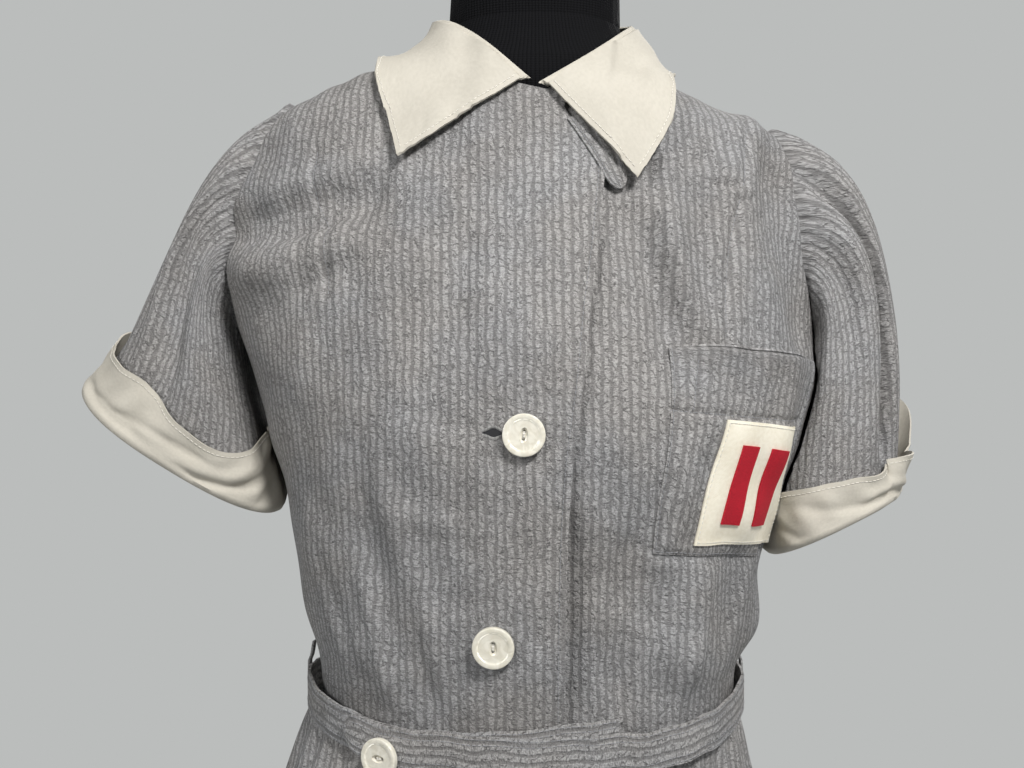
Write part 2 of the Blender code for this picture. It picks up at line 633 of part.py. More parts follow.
def on_panel(panel, x, z):
    """Point of a panel's outer grid at x and z, between its own rows and columns."""
    depths = []
    heights = []
    for row in panel:
        order = np.argsort(row[:, 0])
        if row[order[0], 0] < x < row[order[-1], 0]:
            depths.append(np.interp(x, row[order, 0], row[order, 1]))
            heights.append(np.interp(x, row[order, 0], row[order, 2]))
    order = np.argsort(heights)
    depth = np.interp(z, np.array(heights)[order], np.array(depths)[order])
    return np.array([x, depth, z])


# Buttons down the right front, seated on the cloth
reach = BUTTON_R * 0.6
for number, (x, z) in enumerate(BUTTON_PLACES, start=1):
    panel = panel_points["bodice_front_right" if z > WAIST_Z else "skirt_front_right"]
    across = on_panel(panel, x + reach, z) - on_panel(panel, x - reach, z)
    up = on_panel(panel, x, z + reach) - on_panel(panel, x, z - reach)
    facing = unit(np.cross(across, up))
    lathe_button(f"button_{number}", on_panel(panel, x, z) + facing * BUTTON_GAP, facing)


def belt_line(angle):
    """Centre of the belt's inner face at an angle, and the level way out from it there."""
    height = WAIST_Z + 0.001 + (WAIST_SIDE_RISE - 0.003) * np.sin(np.radians(angle))**4
    waist = np.full_like(angle, WAIST_Z)
    way = unit(surface_normal(BODY, waist, angle) * [1.0, 1.0, 0.0])
    bare = ring_point(BODY, waist, angle)
    reach = np.zeros_like(angle)
    for shift in np.linspace(-0.35, 0.85, 7):
        surface = bodice if shift > 0 else skirt
        point = surface(waist + shift * BELT_H, angle, FLY_RAISE)
        reach = np.maximum(reach, np.sum((point - bare) * way, axis=-1))
    line = bare + way * (reach + LAYER_GAP)[..., None]
    line[..., 2] = height
    return line, way


# Belt: one strap that starts under its own buttoned end and runs once round the waist
BELT_START = 18.0
BELT_TURN = 18.0 + 360.0 + 50.0
run = np.concatenate([[0.0, 0.008], np.linspace(0.02, 0.975, 56), [0.983, 0.991, 0.997, 1.0]])
belt_angle = BELT_START - BELT_TURN * run
line, way = belt_line(((belt_angle + 180.0) % 360.0) - 180.0)
over = (DOUBLE_CLOTH + 0.0007) * step(0.74, 0.80, run)
half = np.full(len(run), BELT_H / 2)
half[-4:] = BELT_H / 2 * np.array([0.97, 0.85, 0.6, 0.25])
tilt = 0.008 * (1.0 - step(0.0, 0.10, run))
heights = np.array([-1.0, 0.0, 1.0])
belt_inner = line[None, :, :] + way[None, :, :] * over[None, :, None]
belt_inner = np.repeat(belt_inner, 3, axis=0)
belt_inner[..., 2] += heights[:, None] * half[None, :] + tilt[None, :]
belt_outer = belt_inner + way[None, :, :] * DOUBLE_CLOTH
wall("belt", [(belt_outer, belt_inner, False)], GREY_CLOTH)

# Belt button on the rounded end
button_angle = np.array([float(angle_at(BODY, WAIST_Z, BELT_BUTTON[0]))])
seat_line, seat_way = belt_line(button_angle)
seat = seat_line[0] + seat_way[0] * (2 * DOUBLE_CLOTH + 0.0007 + 0.0004)
seat[2] = BELT_BUTTON[1]
lathe_button("button_belt", seat, seat_way[0])

# Belt loops at the side seams, over the belt
for name, side in (("belt_loop_right", -1.0), ("belt_loop_left", 1.0)):
    angles = side * SIDE_SEAM + np.array([-1.6, 1.6])
    line, way = belt_line(angles)
    rows = []
    for rise, out in ((-0.0150, 0.0025), (-0.0125, 0.0027), (0.0, 0.0028),
                      (0.0125, 0.0027), (0.0165, 0.0018), (0.026, 0.0008)):
        row = line + way * out
        row[:, 2] = line[:, 2] + rise
        rows.append(row)
    inner = np.array(rows)
    wall(name, [(inner + way[None] * CLOTH, inner, False)], GREY_CLOTH)


def quad_on_front(corners, rows, columns, out):
    """Grid of points on the bodice between corners (x, z) given top left, right, bottom."""
    (x0, z0), (x1, z1), (x2, z2), (x3, z3) = corners
    v = np.linspace(0.0, 1.0, rows)[:, None]
    u = np.linspace(0.0, 1.0, columns)[None, :]
    a = [float(angle_at(BODY, z, x)) for x, z in corners]
    angle = (1 - v) * ((1 - u) * a[0] + u * a[1]) + v * ((1 - u) * a[2] + u * a[3])
    z = (1 - v) * ((1 - u) * z0 + u * z1) + v * ((1 - u) * z2 + u * z3)
    return bodice(z, angle, out), bodice(z, angle, out - CLOTH)


# Pocket, patch and its two felt bars, each moved out from the panel beneath
POCKET = ((0.0775, 1.2300), (0.1775, 1.2230), (0.0675, 1.1065), (0.1420, 1.0960))
PATCH = ((0.1100, 1.1860), (0.1640, 1.1800), (0.0915, 1.1110), (0.1480, 1.1040))
outer, inner = quad_on_front(POCKET, 11, 11, 0.0019 + CLOTH)
wall("pocket", [(outer, inner, False)], GREY_CLOTH)
outer, inner = quad_on_front(PATCH, 6, 6, 0.0028 + 2 * CLOTH)
wall("patch", [(outer, inner, False)], CREAM_FELT)


def inside_quad(corners, u, v):
    """Place (x, z) at shares u across and v down a quad."""
    (x0, z0), (x1, z1), (x2, z2), (x3, z3) = corners
    x = (1 - v) * ((1 - u) * x0 + u * x1) + v * ((1 - u) * x2 + u * x3)
    z = (1 - v) * ((1 - u) * z0 + u * z1) + v * ((1 - u) * z2 + u * z3)
    return x, z


for number, (low, high) in enumerate(((0.24, 0.44), (0.58, 0.78)), start=1):
    bar = tuple(inside_quad(PATCH, u, v) for u, v in ((low, 0.18), (high, 0.18),
                                                      (low, 0.82), (high, 0.82)))
    outer, inner = quad_on_front(bar, 5, 3, 0.0035 + 3 * CLOTH)
    wall(f"patch_bar_{number}", [(outer, inner, False)], RED_FELT)

# Tab of the dress's own cloth under the left collar wing
TAB = ((0.0180, 1.3700), (0.0360, 1.3760), (0.0450, 1.3310), (0.0560, 1.3350))
tab_rows = 6
outer, inner = quad_on_front(TAB, tab_rows, 4, FLY_RAISE + 0.0006 + CLOTH)
wall("collar_tab", [(outer, inner, False)], GREY_CLOTH)

# Dress form: the body surface moved in, from below the hips to the flat neck top
FORM_INSET = np.array([
    # z      inset
    [0.860, 0.0060],
    [0.985, 0.0080],
    [1.100, 0.0120],
    [1.250, 0.0110],
    [1.340, 0.0110],
    [1.375, 0.0095],
    [1.403, 0.0085],
    [1.417, 0.0040],
    [1.432, 0.0060],
    [1.450, 0.0070],
    [1.475, 0.0030],
    [1.505, 0.0010],
])
form_z = np.concatenate([np.linspace(FORM_BOTTOM_Z, 1.35, 15), np.linspace(1.370, 1.450, 9),
                         [1.475, FORM_TOP_Z]])
form_a = np.linspace(0.0, 360.0, 37)[:-1]
z, a = np.meshgrid(form_z, form_a, indexing="ij")
inset = curve(FORM_INSET[:, 0], FORM_INSET[:, 1], z)
inset = inset + 0.006 * np.exp(-((z - 1.31) / 0.045)**2) * np.sin(np.radians(a))**4
form = ring_point(BODY, z, a) - inset[..., None] * surface_normal(BODY, z, a)
bm = bmesh.new()
layers = [[bm.verts.new(p) for p in row] for row in form]
for lower, upper in zip(layers, layers[1:]):
    for c in range(len(lower)):
        n = (c + 1) % len(lower)
        bm.faces.new([lower[c], lower[n], upper[n], upper[c]])
bm.faces.new(list(reversed(layers[0])))
bm.faces.new(layers[-1])
make_object("form_body", bm, BLACK_KNIT)

# Pole and round base
bm = bmesh.new()
bmesh.ops.create_cone(bm, cap_ends=True, segments=24, radius1=POLE_R, radius2=POLE_R,
                      depth=FORM_BOTTOM_Z - BASE_T - 2 * SEAM_GAP)
pole = make_object("form_pole", bm, PAINTED_STEEL)
pole.location = (0.0, 0.0, (FORM_BOTTOM_Z + BASE_T) / 2)

bm = bmesh.new()
base = bmesh.ops.create_cone(bm, cap_ends=True, segments=48, radius1=BASE_R, radius2=BASE_R,
                             depth=BASE_T)
top_ring = [e for e in bm.edges if all(v.co.z > 0 for v in e.verts)]
bmesh.ops.bevel(bm, geom=top_ring, offset=0.006, segments=2, affect="EDGES")
plate = make_object("form_base", bm, PAINTED_STEEL)
plate.location = (0.0, 0.0, BASE_T / 2)
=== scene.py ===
"""Nurse's seersucker dress with white collar and cuffs, on a black knit-covered dress form.

Metres, +Z up, the dress faces -Y, and +X is the wearer's left. Every sheet of cloth is made from
the same body surface as the frame's solids, with finer creases, and carries its grain as UV.
"""
import math

import bmesh
import bpy
import numpy as np
from mathutils import Matrix, Vector
from mathutils.kdtree import KDTree


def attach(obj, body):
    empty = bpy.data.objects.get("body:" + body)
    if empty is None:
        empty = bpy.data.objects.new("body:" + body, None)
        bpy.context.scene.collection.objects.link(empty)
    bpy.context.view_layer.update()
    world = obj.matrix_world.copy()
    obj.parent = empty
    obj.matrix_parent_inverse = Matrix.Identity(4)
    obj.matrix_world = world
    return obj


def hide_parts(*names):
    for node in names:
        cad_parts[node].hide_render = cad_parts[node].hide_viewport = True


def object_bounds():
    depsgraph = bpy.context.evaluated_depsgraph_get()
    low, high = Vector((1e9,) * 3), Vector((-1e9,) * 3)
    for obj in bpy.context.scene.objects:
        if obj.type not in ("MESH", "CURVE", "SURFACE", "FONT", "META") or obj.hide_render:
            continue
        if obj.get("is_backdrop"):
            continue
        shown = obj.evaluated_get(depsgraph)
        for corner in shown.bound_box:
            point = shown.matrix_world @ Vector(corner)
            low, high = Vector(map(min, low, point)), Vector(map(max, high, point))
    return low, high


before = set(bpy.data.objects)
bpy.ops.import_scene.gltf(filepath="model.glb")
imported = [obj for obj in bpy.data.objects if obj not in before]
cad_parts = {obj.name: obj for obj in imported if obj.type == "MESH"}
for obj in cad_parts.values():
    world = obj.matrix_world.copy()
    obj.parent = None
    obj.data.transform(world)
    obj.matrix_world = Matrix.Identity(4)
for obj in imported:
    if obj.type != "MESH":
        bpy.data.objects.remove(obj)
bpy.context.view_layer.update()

# Camera: level with the chest, straight in front, as far off as a hand-held close-up.
camera = bpy.data.objects.new("camera", bpy.data.cameras.new("camera"))
bpy.context.scene.collection.objects.link(camera)
camera.location = (-0.016, -0.85, 1.207)
camera.rotation_euler = (math.radians(90.0), 0.0, 0.0)
camera.data.lens = 43.3
camera.data.sensor_width = 36.0
bpy.context.scene.camera = camera


# Studio: a pale painted floor, an even pale grey room, one bright light above the front, two
# weaker ones from the sides and one from behind, so that the creases show as soft shade.
def srgb(code):
    """Linear colour from an sRGB hex code."""
    parts = [int(code[i:i + 2], 16) / 255.0 for i in (1, 3, 5)]
    return tuple(p / 12.92 if p <= 0.04045 else ((p + 0.055) / 1.055)**2.4 for p in parts) + (1.0,)


def add_node(tree, kind, inputs=None, **settings):
    """A node with its settings, and its inputs set to values or linked from sockets."""
    made = tree.nodes.new(kind)
    for key, value in settings.items():
        setattr(made, key, value)
    for key, value in (inputs or {}).items():
        if isinstance(value, bpy.types.NodeSocket):
            tree.links.new(value, made.inputs[key])
        else:
            made.inputs[key].default_value = value
    return made


def new_material(name, roughness):
    """A material with a Principled shader, its tree and the shader."""
    made = bpy.data.materials.new(name)
    made.use_nodes = True
    shader = made.node_tree.nodes["Principled BSDF"]
    shader.inputs["Roughness"].default_value = roughness
    return made, made.node_tree, shader


def colour_ramp(tree, fac, stops, smooth="EASE"):
    """A colour ramp with stops of place and grey value or hex colour."""
    ramp = add_node(tree, "ShaderNodeValToRGB", {"Fac": fac})
    ramp.color_ramp.interpolation = smooth
    while len(ramp.color_ramp.elements) < len(stops):
        ramp.color_ramp.elements.new(0.5)
    for element, (place, value) in zip(ramp.color_ramp.elements, stops):
        element.position = place
        element.color = srgb(value) if isinstance(value, str) else (value, value, value, 1.0)
    return ramp.outputs["Color"]


def math_node(tree, operation, first, second=0.0, third=0.0):
    """Output of a Math node."""
    return add_node(tree, "ShaderNodeMath", {0: first, 1: second, 2: third},
                    operation=operation).outputs[0]


def weighted(tree, terms):
    """Sum of values, each times its weight."""
    total = 0.0
    for value, weight in terms:
        total = math_node(tree, "MULTIPLY_ADD", value, weight, total)
    return total


def noise(tree, scale, detail=2.0, vector=None, roughness=0.5, distortion=0.0):
    """Value of a noise texture, in generated coordinates if no vector is given."""
    inputs = {"Scale": scale, "Detail": detail, "Roughness": roughness, "Distortion": distortion}
    if vector is not None:
        inputs["Vector"] = vector
    return add_node(tree, "ShaderNodeTexNoise", inputs).outputs["Fac"]


def relief(tree, shader, height, strength, distance):
    """Bump a shader's surface by a height."""
    bump = add_node(tree, "ShaderNodeBump",
                    {"Height": height, "Strength": strength, "Distance": distance})
    tree.links.new(bump.outputs["Normal"], shader.inputs["Normal"])


def shades(tree, shader, value, low, high, start=0.3, end=0.7):
    """Colour a shader between two shades by a value."""
    tree.links.new(colour_ramp(tree, value, [(start, low), (end, high)]),
                   shader.inputs["Base Color"])


def add_object(name, data):
    """An object with the given data, linked into the scene."""
    made = bpy.data.objects.new(name, data)
    bpy.context.scene.collection.objects.link(made)
    return made


world = bpy.data.worlds.new("pale_room")
world.use_nodes = True
bpy.context.scene.world = world
tree = world.node_tree
way = add_node(tree, "ShaderNodeTexCoord")
axes = add_node(tree, "ShaderNodeSeparateXYZ", {"Vector": way.outputs["Generated"]})
behind = math_node(tree, "MULTIPLY_ADD", axes.outputs["Y"], 0.5, 0.5)
tree.links.new(colour_ramp(tree, behind, [(0.0, "#6E7173"), (0.72, "#85888A"), (0.9, "#BBBDBC")]),
               tree.nodes["Background"].inputs["Color"])


def soft_light(name, place, target, size, watts):
    """A square area light aimed at a point."""
    light = add_object(name, bpy.data.lights.new(name, "AREA"))
    light.location = place
    light.rotation_euler = (Vector(target) - Vector(place)).to_track_quat("-Z", "Y").to_euler()
    light.data.size = size
    light.data.energy = watts


soft_light("overhead_light", (0.70, -1.50, 2.62), (0.0, 0.0, 1.2), 0.4, 49.0)
soft_light("left_light", (-1.7, -1.9, 2.1), (0.0, 0.0, 1.2), 0.8, 26.0)
soft_light("right_light", (2.0, -0.9, 1.5), (0.0, 0.0, 1.2), 0.6, 6.0)
soft_light("back_light", (1.2, 2.4, 2.4), (0.0, 0.0, 1.0), 1.4, 30.0)

bpy.ops.object.select_all(action="DESELECT")
bpy.ops.mesh.primitive_circle_add(vertices=96, radius=1.35, fill_type="NGON")
floor = bpy.context.object
floor.name = "studio_floor"
floor_paint, tree, shader = new_material("pale_floor_paint", 0.7)
shades(tree, shader, noise(tree, 60.0, 3.0), "#C5C7C8", "#C9CBCC")
floor.data.materials.append(floor_paint)
floor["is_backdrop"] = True


# Dress form: a padded torso under a black ribbed jersey cover, on a satin black steel pole and
# plate. These solids stay as they are and take their finish here.
RIB_COUNT = 150.0
LOOP_PITCH = 0.0016
knit, tree, shader = new_material("black_ribbed_jersey", 0.85)
place = add_node(tree, "ShaderNodeTexCoord").outputs["Object"]
axes = add_node(tree, "ShaderNodeSeparateXYZ", {"Vector": place})
turn = math_node(tree, "ARCTAN2", axes.outputs["Y"], axes.outputs["X"])
rib = math_node(tree, "SINE", math_node(tree, "MULTIPLY", turn, RIB_COUNT / 2.0))
loops = math_node(tree, "MULTIPLY", axes.outputs["Z"], 2 * math.pi / LOOP_PITCH)
height = weighted(tree, [(math_node(tree, "ABSOLUTE", rib), 1.0),
                         (math_node(tree, "SINE", loops), 0.2),
                         (noise(tree, 900.0, vector=place), 0.5)])
relief(tree, shader, height, 0.6, 0.0006)
# The colour follows the rib relief, paler on the ribs and darker in the grooves between them: painted
# shade on near-black yarn.
shades(tree, shader, height, "#030304", "#0D0D0F", 0.2, 0.8)
shader.inputs["Specular IOR Level"].default_value = 0.12

steel, tree, shader = new_material("satin_black_painted_steel", 0.4)
grain = noise(tree, 700.0)
relief(tree, shader, grain, 0.2, 0.0002)
shades(tree, shader, grain, "#1F1F20", "#2B2B2D")
for part_name, finish in (("form_body", knit), ("form_pole", steel), ("form_base", steel)):
    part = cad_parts[part_name]
    part.data.materials.clear()
    part.data.materials.append(finish)


# Seersucker: cotton woven with tight and slack warp stripes 5.6 mm apart. The slack ones pucker
# into short humps, and the tight ones between them lie flat and darker than the humps. The colour
# is painted paler on the humps and darker in the grooves at their ends: painted light and shade.
STRIPE_PITCH = 0.0056
PUCKER_LENGTH = 0.0066
seersucker, tree, shader = new_material("grey_cotton_seersucker", 0.9)
grain_map = add_node(tree, "ShaderNodeUVMap", uv_map="grain").outputs["UV"]
axes = add_node(tree, "ShaderNodeSeparateXYZ", {"Vector": grain_map})
across = weighted(tree, [(axes.outputs["X"], 1.0 / STRIPE_PITCH),
                         (noise(tree, 70.0, 3.0, grain_map), 0.9)])
inside = math_node(tree, "FRACT", across)
chance = add_node(tree, "ShaderNodeTexWhiteNoise", {"W": math_node(tree, "FLOOR", across)},
                  noise_dimensions="1D")
along = weighted(tree, [(axes.outputs["Y"], 1.0 / PUCKER_LENGTH),
                        (chance.outputs["Value"], 19.0),
                        (noise(tree, 170.0, 2.0, grain_map), 3.2), (inside, 0.45)])
slack = colour_ramp(tree, inside, [(0.0, 0.0), (0.22, 1.0), (0.62, 1.0), (0.84, 0.0)])
hump = colour_ramp(tree, math_node(tree, "FRACT", along),
                   [(0.0, 0.0), (0.14, 0.85), (0.5, 1.0), (0.86, 0.85), (1.0, 0.0)])
pucker = math_node(tree, "MULTIPLY", slack, hump)
fine = add_node(tree, "ShaderNodeMapping", {"Vector": grain_map, "Scale": (1.0, 1.7, 1.0)})
crinkle = noise(tree, 620.0, 4.0, fine.outputs["Vector"], 0.65, 0.6)
crush = noise(tree, 42.0, 4.0, grain_map, 0.55)
relief(tree, shader, weighted(tree, [(pucker, 0.00062), (slack, 0.00006), (crinkle, 0.0014),
                                     (crush, 0.0062)]), 0.8, 1.0)
faded = add_node(tree, "ShaderNodeTexNoise", {"Vector": grain_map, "Scale": 16.0, "Detail": 4.0})
# Colour: the pucker and crinkle terms follow the bump, so hump and crinkle rises are painted paler and
# their grooves and hollows darker (painted light and shade, with the yarn's own uneven tone in the
# crinkle); the faded noise is tone that differs at random.
tone_and_painted_light = weighted(tree, [(pucker, 0.32), (slack, -0.10), (crinkle, 1.1),
                        (faded.outputs["Fac"], 0.25)])
cloth_grey = colour_ramp(tree, tone_and_painted_light, [(0.40, "#595756"), (0.80, "#959391"), (1.0, "#BDBBB9")],
                         "LINEAR")
tint = colour_ramp(tree, faded.outputs["Color"], [(0.38, "#F3F1EF"), (0.62, "#EFF0F2")])
mixed = add_node(tree, "ShaderNodeMix", {0: 1.0, 6: cloth_grey, 7: tint},
                 data_type="RGBA", blend_type="MULTIPLY")
tree.links.new(mixed.outputs[2], shader.inputs["Base Color"])

# Body surface: rings of height, half width to the wearer's right and left, depth in front and
# behind, then the same for the skirt. The tables repeat the frame's solids.
BODY = np.array([
    [0.860, 0.1500, 0.1480, 0.1020, 0.1120], [0.920, 0.1480, 0.1420, 0.1080, 0.1000],
    [0.985, 0.1450, 0.1345, 0.1120, 0.0900], [1.008, 0.1465, 0.1365, 0.1160, 0.0910],
    [1.040, 0.1520, 0.1500, 0.1230, 0.0960], [1.086, 0.1610, 0.1510, 0.1290, 0.1040],
    [1.140, 0.1700, 0.1640, 0.1370, 0.1120], [1.172, 0.1790, 0.1780, 0.1395, 0.1170],
    [1.210, 0.1900, 0.1880, 0.1360, 0.1220], [1.260, 0.2060, 0.1880, 0.1240, 0.1270],
    [1.300, 0.2150, 0.1850, 0.1120, 0.1260], [1.330, 0.2110, 0.1820, 0.1010, 0.1200],
    [1.355, 0.1980, 0.1780, 0.0920, 0.1110], [1.375, 0.1880, 0.1620, 0.0850, 0.1020],
    [1.390, 0.1740, 0.1300, 0.0800, 0.0940], [1.403, 0.1500, 0.0980, 0.0750, 0.0870],
    [1.417, 0.1040, 0.0820, 0.0690, 0.0800], [1.432, 0.0780, 0.0740, 0.0620, 0.0730],
    [1.450, 0.0660, 0.0650, 0.0570, 0.0650], [1.475, 0.0610, 0.0610, 0.0550, 0.0600],
    [1.505, 0.0600, 0.0600, 0.0540, 0.0590]])
SKIRT = np.array([
    [0.370, 0.2860, 0.2840, 0.2240, 0.2300], [0.600, 0.2520, 0.2440, 0.1900, 0.1960],
    [0.760, 0.2240, 0.2080, 0.1600, 0.1680], [0.860, 0.1990, 0.1790, 0.1400, 0.1430],
    [0.910, 0.1810, 0.1560, 0.1290, 0.1260], [0.945, 0.1660, 0.1420, 0.1210, 0.1100],
    [0.965, 0.1560, 0.1370, 0.1160, 0.0990], [0.985, 0.1450, 0.1345, 0.1120, 0.0900]])
WAIST_Z = 0.985
HEM_Z = 0.370
WAIST_SIDE_RISE = 0.020
ROUNDNESS = 2.2
SEAM_GAP = 0.0003
SEAM_WIDTH = 0.0026
FLY_RAISE = 0.0026

# Folds: both ends as x and z, height of the ridge (a trough is below 0) and width. Most of the
# wide ones follow the solids' folds, drawn deeper, and the fine ones are in the cloth alone.
FINE_FOLD = 0.009
FINE_DEPTH = 1.9
WIDE_DEPTH = 1.4
FOLDS = np.array([
    [-0.205, 1.304, -0.100, 1.322, -0.0085, 0.013], [-0.190, 1.275, -0.105, 1.296, 0.0050, 0.014],
    [0.052, 1.326, 0.080, 1.236, -0.0050, 0.011], [0.155, 1.352, 0.174, 1.236, -0.0080, 0.010],
    [0.125, 1.350, 0.138, 1.250, 0.0030, 0.012], [-0.030, 1.375, -0.105, 1.250, 0.0030, 0.016],
    [-0.010, 1.345, -0.070, 1.215, -0.0028, 0.014], [-0.105, 1.150, -0.090, 1.050, -0.0024, 0.012],
    [-0.095, 1.150, -0.055, 1.020, 0.0032, 0.012], [-0.150, 1.140, -0.115, 1.030, 0.0028, 0.012],
    [0.055, 1.120, 0.050, 1.020, -0.0035, 0.013], [0.100, 1.095, 0.092, 1.015, 0.0030, 0.012],
    [0.120, 1.110, 0.118, 1.020, -0.0030, 0.011], [0.150, 1.215, 0.150, 1.120, 0.0030, 0.012],
    [-0.172, 1.296, -0.128, 1.309, -0.0018, 0.005], [-0.150, 1.262, -0.110, 1.282, -0.0012, 0.006],
    [-0.060, 1.372, -0.098, 1.312, 0.0014, 0.006], [-0.118, 1.330, -0.122, 1.270, 0.0012, 0.006],
    [-0.040, 1.300, -0.088, 1.222, -0.0012, 0.007], [0.010, 1.372, -0.012, 1.290, -0.0010, 0.006],
    [0.078, 1.356, 0.084, 1.262, 0.0014, 0.006], [0.070, 1.345, 0.068, 1.270, -0.0014, 0.006],
    [0.148, 1.340, 0.154, 1.262, -0.0018, 0.005], [0.098, 1.330, 0.104, 1.250, -0.0010, 0.006],
    [-0.136, 1.105, -0.108, 1.015, -0.0016, 0.006], [-0.108, 1.090, -0.088, 1.005, 0.0014, 0.005],
    [-0.076, 1.080, -0.062, 1.000, -0.0014, 0.006], [-0.046, 1.060, -0.040, 1.000, 0.0009, 0.005],
    [0.036, 1.080, 0.034, 1.000, 0.0010, 0.006], [0.074, 1.090, 0.068, 1.000, -0.0015, 0.006],
    [0.110, 1.085, 0.098, 1.005, -0.0014, 0.005], [0.134, 1.088, 0.116, 1.015, 0.0014, 0.005],
    [-0.022, 1.120, -0.080, 1.128, 0.0008, 0.006], [-0.030, 1.180, -0.085, 1.190, -0.0008, 0.006],
    [0.058, 1.200, 0.052, 1.120, 0.0012, 0.006], [0.164, 1.180, 0.140, 1.110, -0.0012, 0.006],
    [0.050, 1.055, 0.046, 0.990, -0.0026, 0.006], [0.090, 1.060, 0.079, 0.995, -0.0022, 0.006],
    [0.070, 1.322, 0.098, 1.240, 0.0036, 0.010], [-0.165, 1.330, -0.110, 1.345, 0.0016, 0.007]])
BACK_FOLDS = np.array([
    [-0.130, 1.330, -0.080, 1.200, -0.0035, 0.016], [0.125, 1.320, 0.085, 1.190, -0.0035, 0.016],
    [-0.090, 1.130, -0.060, 1.020, -0.0035, 0.014], [0.085, 1.120, 0.055, 1.020, -0.0035, 0.014],
    [-0.020, 1.110, -0.012, 1.020, 0.0030, 0.014], [0.030, 1.180, 0.020, 1.040, -0.0025, 0.016],
    [0.140, 1.190, 0.115, 1.060, 0.0030, 0.014], [-0.145, 1.200, -0.115, 1.060, 0.0030, 0.014],
    [-0.110, 1.090, -0.086, 1.005, -0.0014, 0.006], [-0.070, 1.080, -0.056, 1.000, 0.0014, 0.006],
    [-0.030, 1.075, -0.026, 1.000, -0.0013, 0.006], [0.012, 1.080, 0.010, 1.000, 0.0010, 0.006],
    [0.048, 1.085, 0.040, 1.000, 0.0014, 0.006], [0.100, 1.090, 0.080, 1.005, -0.0014, 0.006],
    [-0.150, 1.300, -0.110, 1.240, 0.0014, 0.007], [0.150, 1.295, 0.110, 1.240, 0.0014, 0.007]])

# Sewn lines that draw the front in, as x and z: a tuck from each shoulder towards the bust, and
# the sides and foot of the pocket.
TUCKS = [[(-0.140, 1.356), (-0.141, 1.323), (-0.129, 1.300), (-0.128, 1.260)],
         [(0.136, 1.374), (0.1275, 1.331), (0.117, 1.290), (0.114, 1.260), (0.1125, 1.234)]]
POCKET = ((0.0775, 1.2300), (0.1775, 1.2230), (0.0675, 1.1065), (0.1420, 1.0960))
POCKET_SEAM = [POCKET[0], POCKET[2], POCKET[3], POCKET[1]]


def curve(table, column, at):
    """A smooth curve through a column over the table's first one, held flat past both ends."""
    keys = table[:, 0]
    values = table[:, column]
    at = np.clip(at, keys[0], keys[-1])
    slopes = np.gradient(values, keys)
    i = np.clip(np.searchsorted(keys, at) - 1, 0, len(keys) - 2)
    span = keys[i + 1] - keys[i]
    u = (at - keys[i]) / span
    return ((2 * u**3 - 3 * u**2 + 1) * values[i] + (u**3 - 2 * u**2 + u) * span * slopes[i]
            + (3 * u**2 - 2 * u**3) * values[i + 1] + (u**3 - u**2) * span * slopes[i + 1])


def step(low, high, at):
    """A smooth rise from 0 at low to 1 at high."""
    u = np.clip((at - low) / (high - low), 0.0, 1.0)
    return u * u * (3.0 - 2.0 * u)


def gauss(off, width):
    """A bell curve of height 1."""
    return np.exp(-(off / width)**2)


def ring_point(rings, z, angle):
    """Bare surface point at a height and an angle in degrees from the centre front."""
    turn = np.radians(angle)
    wide = np.where(np.sin(turn) < 0, curve(rings, 1, z), curve(rings, 2, z))
    deep = np.where(np.cos(turn) > 0, curve(rings, 3, z), curve(rings, 4, z))
    power = 2.0 / ROUNDNESS
    x = wide * np.sign(np.sin(turn)) * np.abs(np.sin(turn))**power
    y = -deep * np.sign(np.cos(turn)) * np.abs(np.cos(turn))**power
    rise = WAIST_SIDE_RISE * np.sin(turn)**4 * (1.0 - step(0.0, 0.075, np.abs(z - WAIST_Z)))
    return np.stack([x, y, z + rise], axis=-1)


def unit(vectors):
    """The same vectors at length 1."""
    return vectors / np.maximum(np.linalg.norm(vectors, axis=-1, keepdims=True), 1e-12)


def surface_normal(rings, z, angle):
    """Outward unit normal of the bare surface."""
    up = ring_point(rings, z + 0.002, angle) - ring_point(rings, z - 0.002, angle)
    around = ring_point(rings, z, angle + 1.0) - ring_point(rings, z, angle - 1.0)
    return unit(np.cross(around, up))


def fold_height(table, x, z):
    """Sum of the soft ridges and troughs of a fold table at a place."""
    total = np.zeros_like(x)
    for x0, z0, x1, z1, height, width in table:
        height = height * (FINE_DEPTH if width < FINE_FOLD else WIDE_DEPTH)
        length = math.hypot(x1 - x0, z1 - z0)
        along = ((x - x0) * (x1 - x0) + (z - z0) * (z1 - z0)) / length**2
        across = ((x - x0) * (z1 - z0) - (z - z0) * (x1 - x0)) / length
        ends = step(-0.25, 0.2, along) * (1.0 - step(0.8, 1.25, along))
        total = total + height * ends * gauss(across, width)
    return total


def line_distance(points, x, z):
    """Distance from a place to a broken line of x and z."""
    best = np.full(np.shape(x), 1.0)
    for (x0, z0), (x1, z1) in zip(points, points[1:]):
        length = (x1 - x0)**2 + (z1 - z0)**2
        t = np.clip(((x - x0) * (x1 - x0) + (z - z0) * (z1 - z0)) / length, 0.0, 1.0)
        best = np.minimum(best, np.hypot(x - x0 - t * (x1 - x0), z - z0 - t * (z1 - z0)))
    return best


def unrest(x, z):
    """Small uneven waves of worn cloth, longer down the grain than across it."""
    waves = [(95.0, 22.0, 0.4), (-70.0, 48.0, 1.9), (150.0, -35.0, 4.1), (210.0, 60.0, 2.6),
             (-240.0, 85.0, 5.3), (60.0, 120.0, 3.3), (310.0, -50.0, 0.9)]
    total = np.zeros_like(x)
    for across, down, phase in waves:
        size = 0.058 / math.hypot(across, down)
        total = total + size * np.sin(across * x + down * z + phase)
    return total


DEEPEST_FREE = -0.006
DEEPER_BY = 0.0028


